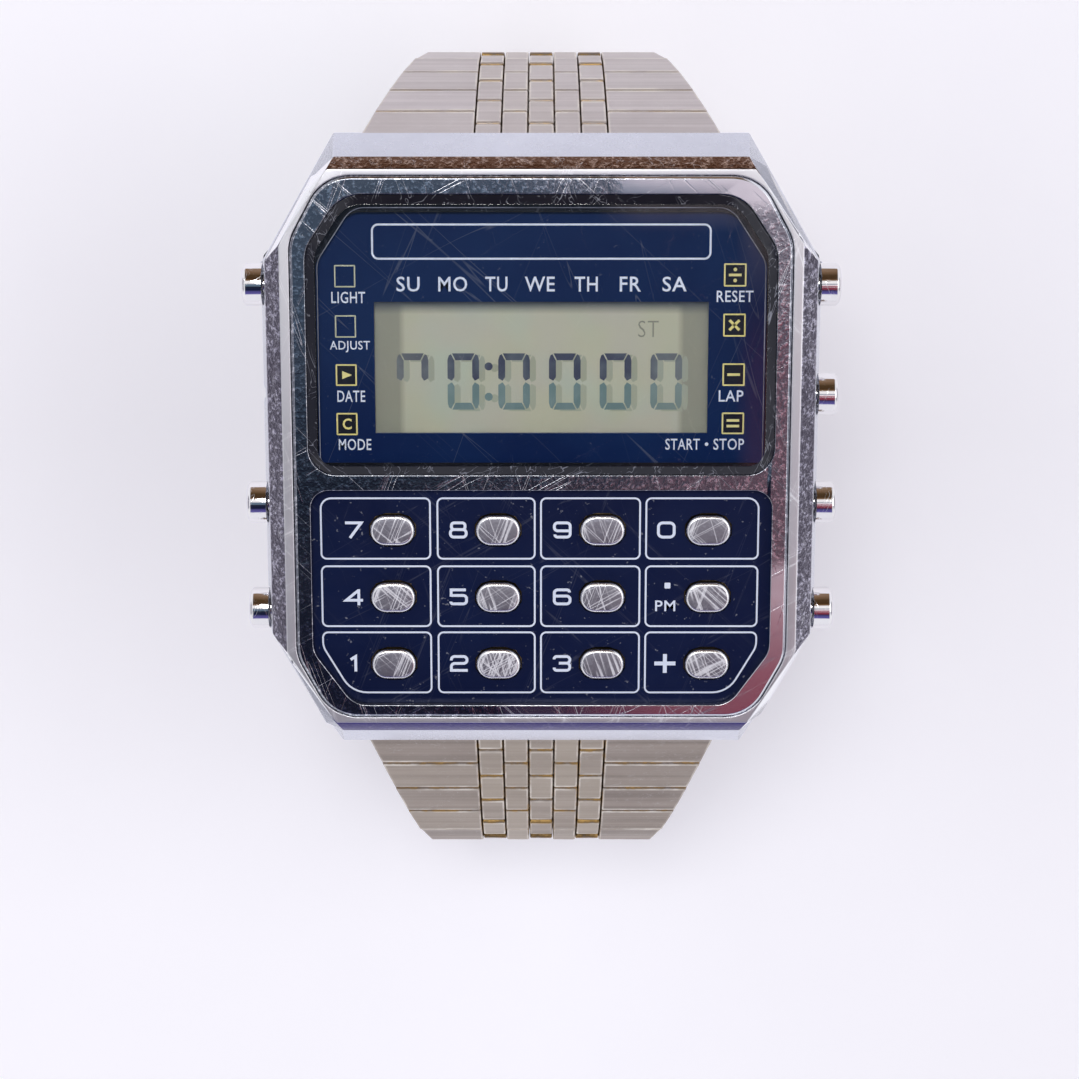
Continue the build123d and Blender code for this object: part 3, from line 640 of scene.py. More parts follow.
PANEL = PaintFinish("panel_navy", (0.002, 0.006, 0.034), (0.004, 0.011, 0.05), 0.3, 0.6, 0.06, 0.25, gloss=0.15)
SIGN_GROUND = PaintFinish("sign_ground_black", (0.004, 0.005, 0.012), (0.008, 0.009, 0.02), 0.4, 0.6, gloss=0.1)
WHITE = PaintFinish("white_print", (0.7, 0.76, 0.88), (0.58, 0.65, 0.8), 0.5, 0.5)
YELLOW = PaintFinish("yellow_print", (0.78, 0.68, 0.22), (0.68, 0.64, 0.36), 0.5, 0.5)
# Painted highlight: the bright line round the dial stands for the glint on the crystal's bevel edge.
EDGE_PAINTED_HIGHLIGHT = PaintFinish("surround_edge_line", (0.3, 0.32, 0.42), (0.03, 0.035, 0.06), 0.4, 1.0)
RUBBER = PaintFinish("black_rubber", (0.02, 0.02, 0.022), (0.035, 0.035, 0.035), 0.7)
MAT = PaintFinish("soft_mat_rubber", (0.04, 0.04, 0.045), (0.06, 0.06, 0.065), 0.75)
STRIP = PaintFinish("pink_strip_rubber", (0.3, 0.13, 0.17), (0.2, 0.1, 0.12), 0.65)
PLASTIC = PaintFinish("moulded_frame", (0.05, 0.05, 0.055), (0.07, 0.07, 0.075), 0.5)
BOARD = PaintFinish("green_board", (0.02, 0.09, 0.035), (0.03, 0.12, 0.05), 0.45)
CHIP = PaintFinish("black_chip", (0.015, 0.015, 0.016), (0.03, 0.03, 0.03), 0.5)
# Painted reflection: the dark band round the dial and the dark crystal bevel stand for the crystal bevel's dark
# reflection.
SURROUND_PAINTED_REFLECTION = PaintFinish("dark_surround", (0.004, 0.005, 0.01), (0.01, 0.01, 0.016), 0.4, 0.8, 0.1, 0.2, gloss=0.08)
BEVEL = PaintFinish("dark_crystal_bevel", (0.006, 0.007, 0.014), (0.02, 0.02, 0.028), 0.18, 0.7, 0.5, 0.2, gloss=0.35)
PALE = PaintFinish("pale_print", (0.5, 0.52, 0.36), (0.42, 0.46, 0.36), 0.5, 0.5)
CRYSTAL = GlassFinish("clear_crystal")
DISPLAY = DisplayFinish()
SEGMENTS = SegmentFinish("display_segments", (0.008, 0.012, 0.038), (0.075, 0.13, 0.125))
SHADOWS = SegmentFinish("segment_shadows", (0.235, 0.24, 0.165), (0.25, 0.26, 0.18))
CAPTION = PaintFinish("display_caption", (0.16, 0.155, 0.11), (0.13, 0.13, 0.1), 0.5)
# The floor's glow is painted light, stronger on the left and above and below the watch.
FLOOR = PaintFinish("studio_floor", (0.82, 0.815, 0.85), (0.8, 0.795, 0.835), 0.7, 0.3, painted_glow=0.165)


# Mesh and pieces


@dataclass(frozen=True)
class CasePlace:
    """Where the case stands: its centre line and its top level, in millimetres."""

    y: float
    top: float

    def level(self, depth: float) -> float:
        """Returns the height of a level that lies some depth under the case's top."""
        return self.top - depth


def case_place() -> CasePlace:
    """Reads the case's place from its packed box."""
    low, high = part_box("case_body")
    return CasePlace((low.y + high.y) / 2 / MM, high.z / MM)


CASE = case_place()


def add_object(name: str, data: Any) -> bpy.types.Object:
    """Makes an object at the origin and puts it into the scene."""
    made = bpy.data.objects.new(name, data)
    bpy.context.scene.collection.objects.link(made)
    return made


def values_of(items: Any, what: str) -> np.ndarray:
    """Reads a vector of every point or face, such as its normal, as an N by 3 array."""
    values = np.empty(len(items) * 3)
    items.foreach_get(what, values)
    return values.reshape(-1, 3)


def corners_of(node: str) -> tuple[Vector, Vector, Vector]:
    """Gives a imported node's lowest corner, highest corner and middle in millimetres."""
    low, high = (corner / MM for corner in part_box(node))
    return low, high, (low + high) / 2


def piece(
    name: str, points: np.ndarray, faces: Sequence[Sequence[int]], body: str, finish: Finish, slot: str,
) -> bpy.types.Object:
    """Makes an object of points and faces, dresses it and lets it ride on a body.

    Args:
        name: The object's name.
        points: N by 3 array of places in millimetres.
        faces: Corner numbers of each face.
        body: The body that it moves with.
        finish: Its finish.
        slot: The material slot of the record that it stands for; not used.

    Returns:
        The new object.
    """
    mesh = bpy.data.meshes.new(name)
    mesh.from_pydata((np.asarray(points, float) * MM).tolist(), [], [list(map(int, face)) for face in faces])
    mesh.materials.append(finish.material())
    mesh.update()
    made = add_object(name, mesh)
    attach(made, body)
    LOG.info("%s: %d faces on %s", name, len(mesh.polygons), body)
    return made


def gather(parts: Sequence[Flat]) -> Flat:
    """Joins meshes, each given as points and four-cornered or n-cornered faces.

    Args:
        parts: Pairs of points and faces.

    Returns:
        All points and all faces, numbered on.
    """
    points, faces, start = [], [], 0
    for some, those in parts:
        points.append(some)
        faces.extend([[int(corner) + start for corner in face] for face in those])
        start += len(some)
    return np.concatenate(points), faces


def swept_rings(rings: np.ndarray) -> Flat:
    """Joins closed rings of points, given in order, into a skin with a cap at each end.

    Args:
        rings: Rings by points by 3 array.

    Returns:
        All points and the faces.
    """
    stations, count = rings.shape[:2]
    first = np.arange(stations - 1)[:, None] * count
    column = np.arange(count)
    after = (column + 1) % count
    quads = np.stack([first + column, first + after, first + count + after, first + count + column], -1)
    caps = [list(range(count))[::-1], list(range((stations - 1) * count, stations * count))]
    return rings.reshape(-1, 3), quads.reshape(-1, 4).tolist() + caps


def make_outward(made: bpy.types.Object) -> None:
    """Turns all faces of closed shells outwards."""
    work = bmesh.new()
    work.from_mesh(made.data)
    bmesh.ops.recalc_face_normals(work, faces=work.faces)
    work.to_mesh(made.data)
    work.free()


def turned_part(made: bpy.types.Object, node: str) -> bpy.types.Object:
    """Shades a key or pusher smooth but for its sharp edges, and lets it stand for its node."""
    made.data.polygons.foreach_set("use_smooth", np.ones(len(made.data.polygons), bool))
    made.data.set_sharp_from_angle(angle=SHARP_EDGE)
    make_outward(made)
    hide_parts(node)
    return made


def face_up(made: bpy.types.Object) -> None:
    """Turns the faces of a flat print upwards."""
    down = np.nonzero(values_of(made.data.polygons, "normal")[:, 2] < 0)[0]
    work = bmesh.new()
    work.from_mesh(made.data)
    work.faces.ensure_lookup_table()
    bmesh.ops.reverse_faces(work, faces=[work.faces[int(number)] for number in down])
    work.to_mesh(made.data)
    work.free()


def rounded_path(corners: Outline, radii: Sequence[float], steps: int = 6) -> np.ndarray:
    """Rounds the corners of a closed path: each corner becomes an arc that touches both sides.

    Args:
        corners: The path's sharp corners in order.
        radii: One radius for each corner.
        steps: Spans in each arc.

    Returns:
        The rounded path's points.
    """
    outline = np.asarray(corners, float)
    arcs = []
    for number, corner in enumerate(outline):
        before = outline[number - 1] - corner
        after = outline[(number + 1) % len(outline)] - corner
        before, after = before / np.linalg.norm(before), after / np.linalg.norm(after)
        half = math.acos(float(np.clip(before @ after, -1, 1))) / 2
        radius = radii[number]
        if radius <= 0 or half > math.pi / 2 - 0.01:
            arcs.append(corner[None])
            continue
        middle = corner + (before + after) / np.linalg.norm(before + after) * radius / math.sin(half)
        first = corner + before * radius / math.tan(half) - middle
        last = corner + after * radius / math.tan(half) - middle
        share = np.linspace(0, 1, steps + 1)[:, None]
        blend = first * (1 - share) + last * share
        arcs.append(middle + blend / np.linalg.norm(blend, axis=1)[:, None] * radius)
    return np.concatenate(arcs)


def ribbon(path: np.ndarray, width: float, closed: bool) -> Flat:
    """Draws a line of even width: each point is moved half a width to both sides, mitred.

    Args:
        path: The line's points.
        width: Its width.
        closed: Whether its end meets its start.

    Returns:
        Flat points and four-cornered faces.
    """
    path = np.asarray(path, float)
    count = len(path)
    if closed:
        ahead, behind = np.roll(path, -1, 0) - path, path - np.roll(path, 1, 0)
    else:
        span = np.diff(path, axis=0)
        ahead, behind = np.vstack([span, span[-1:]]), np.vstack([span[:1], span])
    ahead = ahead / np.linalg.norm(ahead, axis=1)[:, None]
    behind = behind / np.linalg.norm(behind, axis=1)[:, None]
    normal = np.stack([-(ahead + behind)[:, 1], (ahead + behind)[:, 0]], 1)
    normal /= np.linalg.norm(normal, axis=1)[:, None]
    across = np.stack([-ahead[:, 1], ahead[:, 0]], 1)
    reach = width / 2 / np.clip((normal * across).sum(1), 0.35, 1)[:, None]
    points = np.concatenate([path - normal * reach, path + normal * reach])
    index = np.arange(count if closed else count - 1)
    following = (index + 1) % count
    return points, np.stack([index, following, following + count, index + count], 1)


def fill(path: Outline) -> Flat:
    """Fills a closed outline that is star shaped about its middle: a fan from the mean point."""
    path = np.asarray(path, float)
    count = len(path)
    index = np.arange(count)
    points = np.concatenate([path, path.mean(0)[None]])
    return points, np.stack([index, (index + 1) % count, np.full(count, count)], 1)


def disc(x: float, y: float, radius: float, sides: int = 20) -> Flat:
    """Makes a filled circle."""
    turn = np.linspace(0, 2 * math.pi, sides, endpoint=False)
    return fill(np.stack([x + radius * np.cos(turn), y + radius * np.sin(turn)], 1))


def at_level(shape: Flat, depth: float) -> Flat:
    """Lays a flat shape, drawn about the case's centre, at a depth under the case's top."""
    points, faces = shape
    height = np.full(len(points), CASE.level(depth))
    return np.stack([points[:, 0], points[:, 1] + CASE.y, height], 1), faces


def lay_print(name: str, shapes: Sequence[Flat], depths: Sequence[float], finish: Finish, slot: str) -> None:
    """Lays flat shapes on the case as one print that faces up.

    Args:
        name: The print's name.
        shapes: Its shapes about the case's centre.
        depths: Their depths under the case's top, used in turn.
        finish: Its finish.
        slot: The material slot that it stands for; not used.
    """
    layers = [at_level(shape, depths[number % len(depths)]) for number, shape in enumerate(shapes)]
    points, faces = gather(layers)
    face_up(piece(name, points, faces, "case", finish, slot))


def box_corners(left: float, right: float, low: float, high: float) -> list[tuple[float, float]]:
    """Lists a box's corners, from the lower left one round by the right."""
    return [(left, low), (right, low), (right, high), (left, high)]


def lettering(text: str, x: float, y: float, height: float, width: float, weight: float = 0.0) -> Flat:
    """Sets a plain word as a flat mesh, centred on a point.

    Args:
        text: The word.
        x: Middle in X, from the case's centre.
        y: Middle in Y, from the case's centre.
        height: Height of its capitals.
        width: Width of the whole word.
        weight: How far its outline is moved outwards.

    Returns:
        Flat points and faces.
    """
    curve = bpy.data.curves.new("word", "FONT")
    curve.body, curve.align_x, curve.resolution_u = text, "CENTER", 3
    curve.offset, curve.space_character = weight, 1.08
    holder = add_object("word", curve)
    bpy.context.view_layer.update()
    mesh = bpy.data.meshes.new_from_object(holder.evaluated_get(bpy.context.evaluated_depsgraph_get()))
    places = values_of(mesh.vertices, "co")[:, :2]
    faces = [list(face.vertices) for face in mesh.polygons]
    bpy.data.objects.remove(holder)
    bpy.data.curves.remove(curve)
    bpy.data.meshes.remove(mesh)
    low, high = places.min(0), places.max(0)
    middle = (low + high) / 2
    return (places - middle) * (width, height) / (high - low) + (x, y), faces


# Bracelet


class Half(Enum):
    """The two halves of the bracelet and the way each leaves the case."""

    UPPER = 1
    LOWER = -1


@dataclass
class BraceletRow:
    """One row of links with rounded edges, in the place of its plain solid."""

    half: Half
    number: int
    pivot: np.ndarray
    heading: np.ndarray
    last: bool
    pitch: float = 4.3
    gap: float = 0.1
    rise: float = 1.15
    column_pitch: float = 1.79
    link_width: float = 1.71
    root_half_width: float = 12.1
    taper: float = 0.71
    end_half_width: float = 8.55
    pin_radius: float = 0.45
    rounding: float = 0.2
    side_rounding: float = 0.1
    seed: int = 7

    @property
    def name(self) -> str:
        """The node and body of this row."""
        return f"{self.half.name.lower()}_row_{self.number}"

    def profile(self, middle: float) -> tuple[np.ndarray, np.ndarray]:
        """Works out a link's side outline: two quarter arcs inside, two small arcs outside.

        Args:
            middle: The link's middle along the band.

        Returns:
            The outline's points, and for each how near it is to an outer edge.
        """
        quarter = self.pitch / 4
        radius = quarter - self.gap / 2
        low = np.linspace(-math.pi / 2, 0, 6)
        inner = np.stack([quarter + radius * np.cos(low), radius * np.sin(low)], 1)
        high = np.linspace(0, math.pi / 2, 5)
        small, edge = self.rounding, quarter + radius
        outer = np.stack([edge - small + small * np.cos(high), self.rise - small + small * np.sin(high)], 1)
        ease = np.array([[edge - small - 0.3, self.rise]])
        right = np.concatenate([inner, outer, ease])
        near = np.concatenate([np.full(len(inner), 1.0), np.linspace(1.0, 0.5, len(outer)), [0.0]])
        left = right[::-1] * (-1, 1)
        return np.concatenate([right, left]) + (middle, 0), np.concatenate([near, near[::-1]])

    def place(self, along: np.ndarray, rise: np.ndarray, x: np.ndarray) -> np.ndarray:
        """Turns places along the band, above its pins and across it into X, Y and Z."""
        outward = self.half.value * np.array([-self.heading[1], self.heading[0]])
        y = self.pivot[0] + along * self.heading[0] + rise * outward[0]
        z = self.pivot[1] + along * self.heading[1] + rise * outward[1]
        return np.stack([x, y, z], -1)

    def link(
        self, middle: float, start: float, end: float, end_far: float,
    ) -> tuple[np.ndarray, Sequence[Sequence[int]], np.ndarray]:
        """Works out one link: its outline is carried across the band and drawn in at both ends.

        Args:
            middle: The link's middle along the band.
            start: Its X at its inner side.
            end: Its X at its outer side, at its near end.
            end_far: The same at its far end.

        Returns:
            Points, faces and grime values.
        """
        outline, near = self.profile(middle)
        turn = np.linspace(0, math.pi / 2, 4)
        small = self.side_rounding
        inset = np.concatenate([small * (1 - np.sin(turn)), [0.0], [0.0], small * (1 - np.sin(turn[::-1]))])
        run = np.concatenate([small * (1 - np.cos(turn)), [small + 0.1]])
        edge = np.concatenate([np.linspace(1.0, 0.35, 4), [0.0]])
        half_length = self.pitch / 2 - self.gap / 2
        share = np.clip((outline[:, 0] - middle) / (2 * half_length) + 0.5, 0, 1)
        far_x = end + (end_far - end) * share
        sign = 1.0 if end >= start else -1.0
        x = np.concatenate([start + sign * run[:, None] * np.ones_like(far_x), far_x - sign * run[::-1, None]])
        along = middle + (outline[:, 0] - middle) * (1 - inset[:, None] / half_length)
        centre = (self.rise - self.pitch / 4) / 2
        rise = centre + (outline[:, 1] - centre) * (1 - inset[:, None] / (self.pitch / 4))
        grime = np.maximum(np.concatenate([edge, edge[::-1]])[:, None], near[None]).ravel()
        return *swept_rings(self.place(along, rise, x)), grime

    def pin(self, along: float, reach: float) -> Flat:
        """Works out a round pin across the band: a circle carried from side to side."""
        turn = np.linspace(0, 2 * math.pi, 24, endpoint=False)
        ends = np.array([-reach, -reach + 0.06, reach - 0.06, reach])[:, None]
        size = np.array([0.8, 1.0, 1.0, 0.8])[:, None] * self.pin_radius
        return swept_rings(self.place(along + size * np.cos(turn), size * np.sin(turn), ends * np.ones_like(turn)))

    def half_width(self, number: int) -> float:
        """Returns half the band's width where a row starts."""
        return max(self.root_half_width - self.taper * number, self.end_half_width)

    def build(self) -> bpy.types.Object:
        """Builds the row's links and pins as one piece.

        Returns:
            The row's object.
        """
        quarter, half = self.pitch / 4, self.pitch / 2
        near, far = self.half_width(self.number - 1), self.half_width(self.number)
        inner = 2.5 * self.column_pitch + (self.column_pitch - self.link_width) / 2
        links = [(quarter + half, hand * inner, hand * near, hand * far) for hand in (1, -1)]
        middles = [(quarter + half, column) for column in (-1, 1)] + [(quarter, column) for column in (-2, 0, 2)]
        if self.last:
            middles += [(quarter + self.pitch, column) for column in (-2, 0, 2)]
        side = self.link_width / 2
        for middle, column in middles:
            centre = column * self.column_pitch
            links.append((middle, centre - side, centre + side, centre + side))
        chance = np.random.default_rng(self.seed * 100 + self.number * 2 + (self.half is Half.UPPER))
        parts, grime, tone = [], [], []
        for spec in links:
            points, faces, near_edge = self.link(*spec)
            parts.append((points, faces))
            grime.append(near_edge)
            narrow = abs(spec[2] - spec[1]) < self.column_pitch
            tone.append(np.full(len(points), chance.uniform(0.0, 0.6) + 0.4 * narrow))
        reach = self.end_half_width - 0.5
        places = [half, self.pitch] + ([self.pitch + half] if self.last and self.half is Half.UPPER else [])
        for along in places:
            points, faces = self.pin(along, reach if along > self.pitch else inner)
            parts.append((points, faces))
            grime.append(np.full(len(points), 0.5))
            tone.append(np.zeros(len(points)))
        points, faces = gather(parts)
        # The lower half takes the darker copy of the band steel: painted shade, with more dirt.
        finish = BAND if self.half is Half.UPPER else BAND_LOW
        made = piece(self.name + "_links", points, faces, self.name, finish, "band_steel")
        self.note(made, "edge_grime", "POINT", np.concatenate(grime))
        self.note(made, "link_tone", "POINT", np.concatenate(tone))
        made.data.polygons.foreach_set("use_smooth", np.array([len(face) == 4 for face in faces]))
        make_outward(made)
        self.mark_open_sides(made)
        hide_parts(self.name)
        return made

    def note(self, made: bpy.types.Object, label: str, domain: str, values: np.ndarray) -> None:
        """Writes one value for each point or face of a piece, for its finish to read."""
        layer = made.data.attributes.new(label, "FLOAT", domain)
        layer.data.foreach_set("value", values.astype(np.float32))

    def mark_open_sides(self, made: bpy.types.Object) -> None:
        """Marks the faces that skin and cloth rub clean: the inner side and the band's two edges."""
        normals, centres = (values_of(made.data.polygons, what) for what in ("normal", "center"))
        outward = self.half.value * np.array([-self.heading[1], self.heading[0]])
        inward = normals[:, 1:] @ outward < -0.3
        beside = (np.abs(normals[:, 0]) > 0.7) & (np.abs(centres[:, 0]) > 0.75 * self.half_width(self.number) * MM)
        self.note(made, "open_side", "FACE", inward | beside)


@dataclass
class Bracelet:
    """Both halves of the link bracelet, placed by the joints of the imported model."""

    upper_rows: int = 9
    lower_rows: int = 10
    last_upper_drop: float = 154.0

    def build(self) -> list[bpy.types.Object]:
        """Builds every row.

        Returns:
            The rows' objects.
        """
        hinges = [joint for joint in frame["joints"] if joint["type"] == "hinge"]
        places = {joint["child"]: np.array(joint["pos_m"][1:]) / MM for joint in hinges}
        made = []
        for half, count in ((Half.UPPER, self.upper_rows), (Half.LOWER, self.lower_rows)):
            for number in range(1, count + 1):
                label = half.name.lower()
                pivot = places[f"{label}_row_{number}"]
                last = number == count
                if not last:
                    following = places[f"{label}_row_{number + 1}"]
                elif half is Half.LOWER:
                    following = places["clasp_inner_blade"]
                else:
                    drop = math.radians(self.last_upper_drop)
                    following = pivot + (math.cos(drop), -math.sin(drop))
                heading = (following - pivot) / np.linalg.norm(following - pivot)
                made.append(BraceletRow(half, number, pivot, heading, last).build())
        return made


# Dial prints


@dataclass
class Dial:
    """The dial's prints: day names, pusher signs and labels, frames, and the display."""

    print_depth: float = 1.09
    line: float = 0.13
    name_box: tuple[float, float, float, float] = (-11.1, 11.1, 12.76, 14.99)
    days: tuple[str, ...] = ("SU", "MO", "TU", "WE", "TH", "FR", "SA")
    day_places: tuple[float, ...] = (-8.77, -5.83, -2.96, -0.1, 2.95, 5.86, 8.77)
    day_widths: tuple[float, ...] = (1.53, 1.91, 1.47, 1.97, 1.53, 1.4, 1.6)
    day_row: float = 11.1
    left_column: tuple[float, float] = (-13.58, -12.28)
    right_column: tuple[float, float] = (12.06, 13.44)
    left: tuple[tuple[float, float], ...] = ((10.93, 12.31), (7.62, 9.01), (4.42, 5.76), (1.12, 2.51))
    plain: int = 2
    right: tuple[tuple[float, float], ...] = ((10.99, 12.41), (7.69, 9.11), (4.42, 5.82), (1.19, 2.54))
    digit_depth: float = 1.405
    digit_low: float = 2.74
    digit_size: tuple[float, float] = (2.1, 3.76)
    digit_start: float = -9.6
    digit_pitch: float = 3.37
    stroke: float = 0.46

    def frame_box(self, box: Sequence[float], radius: float, width: float) -> Flat:
        """Draws a thin box with rounded corners, given its left, right, low and high sides."""
        return ribbon(rounded_path(box_corners(*box), [radius] * 4), width, True)

    def signed_boxes(self) -> list[tuple[float, ...]]:
        """Lists the squares that hold a sign, on both sides."""
        left = [(*self.left_column, *span) for span in self.left[self.plain:]]
        return left + [(*self.right_column, *span) for span in self.right]

    def white(self) -> list[Flat]:
        """Collects the pale prints: the bare name box, the day names and the labels."""
        shapes = [self.frame_box(self.name_box, 0.4, self.line)]
        for word, x, width in zip(self.days, self.day_places, self.day_widths):
            shapes.append(lettering(word, x, self.day_row, 0.98, width, 0.01))
        labels = (
            ("LIGHT", -12.72, 10.22, 2.23), ("ADJUST", -12.66, 6.98, 2.66), ("DATE", -12.62, 3.68, 1.85),
            ("MODE", -12.42, 0.44, 2.17), ("RESET", 12.76, 10.3, 2.42), ("LAP", 12.6, 3.7, 1.64),
            ("START", 9.42, 0.46, 2.3), ("STOP", 12.5, 0.46, 2.04),
        )
        for word, x, y, width in labels:
            shapes.append(lettering(word, x, y, 0.76, width, 0.009))
        shapes.append(disc(11.02, 0.46, 0.12))
        return shapes

    def yellow(self) -> list[Flat]:
        """Collects the pushers' squares and their signs."""
        shapes = [self.frame_box(box, 0.03, 0.1) for box in self.signed_boxes()]
        shapes.append(fill(np.array([(-13.2, 4.82), (-12.55, 5.09), (-13.2, 5.36)])))
        shapes.append(lettering("C", -12.92, 1.82, 0.74, 0.6, 0.02))
        x = 12.75
        bar = np.array([(x - 0.42, 0.0), (x + 0.42, 0.0)])
        for y in (11.7, 5.12, 2.06, 1.68):
            shapes.append(ribbon(bar + (0, y), 0.17, False))
        shapes += [disc(x, 11.7 + side, 0.12) for side in (0.36, -0.36)]
        for slope in (1, -1):
            cross = np.array([(-0.33, -0.33 * slope), (0.33, 0.33 * slope)]) + (x, 8.4)
            shapes.append(ribbon(cross, 0.18, False))
        return shapes

    def segment(self, which: str) -> np.ndarray:
        """Gives one segment's outline in a digit's own box, its corner at 0, 0.

        Args:
            which: top, bottom, or left or right with upper or lower.

        Returns:
            The outline's points.
        """
        width, height = self.digit_size
        thick, gap, middle = self.stroke, 0.05, self.digit_size[1] / 2
        top = np.array([
            (thick * 0.55 + gap, height), (width - thick * 0.55 - gap, height),
            (width - thick - gap * 1.5, height - thick), (thick + gap * 1.5, height - thick),
        ])
        left = np.array([
            (0.0, middle + 0.22), (0.0, height - thick * 0.95), (thick * 0.2, height - thick * 0.3),
            (thick * 0.5, height - gap), (thick, height - thick - gap * 0.6), (thick, middle + 0.3),
            (thick * 0.62, middle + gap),
        ])
        flip = np.array([1, -1]), np.array([0, height])
        shapes = {
            "top": top, "bottom": top * flip[0] + flip[1], "upper_left": left,
            "upper_right": left * (-1, 1) + (width, 0), "lower_left": left * flip[0] + flip[1],
            "lower_right": left * (-1, -1) + (width, height),
        }
        return shapes[which]

    def digits(self, shift: tuple[float, float] = (0.0, 0.0)) -> list[Flat]:
        """Collects the lit segments: a seven drawn square, then five zeros and the colon."""
        ring = ("top", "bottom", "upper_left", "upper_right", "lower_left", "lower_right")
        seven = ("top", "upper_left", "upper_right")
        shapes = []
        for number in range(6):
            corner = np.array([self.digit_start + self.digit_pitch * number, self.digit_low]) + shift
            for which in seven if number == 0 else ring:
                shapes.append(fill(self.segment(which) + corner))
        for y in (5.63, 3.6):
            shapes.append(disc(-3.5 + shift[0], y + shift[1], 0.27))
        return shapes

    def build(self) -> None:
        """Builds the prints and the display's segments."""
        squares = [fill(box_corners(*box)) for box in self.signed_boxes()]
        plain = [self.frame_box((*self.left_column, *span), 0.03, 0.09) for span in self.left[:self.plain]]
        ground, printed, drawn = self.print_depth + 0.004, self.print_depth, self.digit_depth
        for name, shapes, depth, finish, slot in (
            ("pusher_sign_grounds", squares, ground, SIGN_GROUND, "dial_paint"),
            ("pusher_plain_squares", plain, printed, PALE, "dial_paint"),
            ("dial_white_print", self.white(), printed, WHITE, "dial_paint"),
            ("dial_yellow_print", self.yellow(), printed, YELLOW, "dial_paint"),
            ("display_segments", self.digits(), drawn, SEGMENTS, "display"),
            ("display_segment_shadows", self.digits((0.4, -0.1)), drawn + 0.008, SHADOWS, "display"),
            ("display_caption", [lettering("ST", 7.09, 8.12, 1.1, 1.35, -0.01)], drawn, CAPTION, "display"),
        ):
            lay_print(name, shapes, [depth], finish, slot)
        self.surround()

    def surround(self) -> None:
        """Builds the dark band round the dial, a painted dark reflection of the crystal's bevel, and the painted
        highlight at its inner edge.
        """
        corners = [(-14.95, -1.05), (14.95, -1.05), (14.95, 12.6), (12.6, 16.1), (-12.6, 16.1), (-14.95, 12.6)]
        middle = rounded_path(corners, (0.8, 0.8, 1.6, 1.6, 1.6, 1.6), 8)
        for name, widening, width, depth, finish in (
            ("dial_surround", 1.012, 0.62, 0.72, SURROUND_PAINTED_REFLECTION),
            ("dial_surround_edge", 0.985, 0.06, 0.715, EDGE_PAINTED_HIGHLIGHT),
        ):
            lay_print(name, [ribbon(middle * (widening, 1.0), width, True)], [depth], finish, "dial_paint")


# Keypad prints


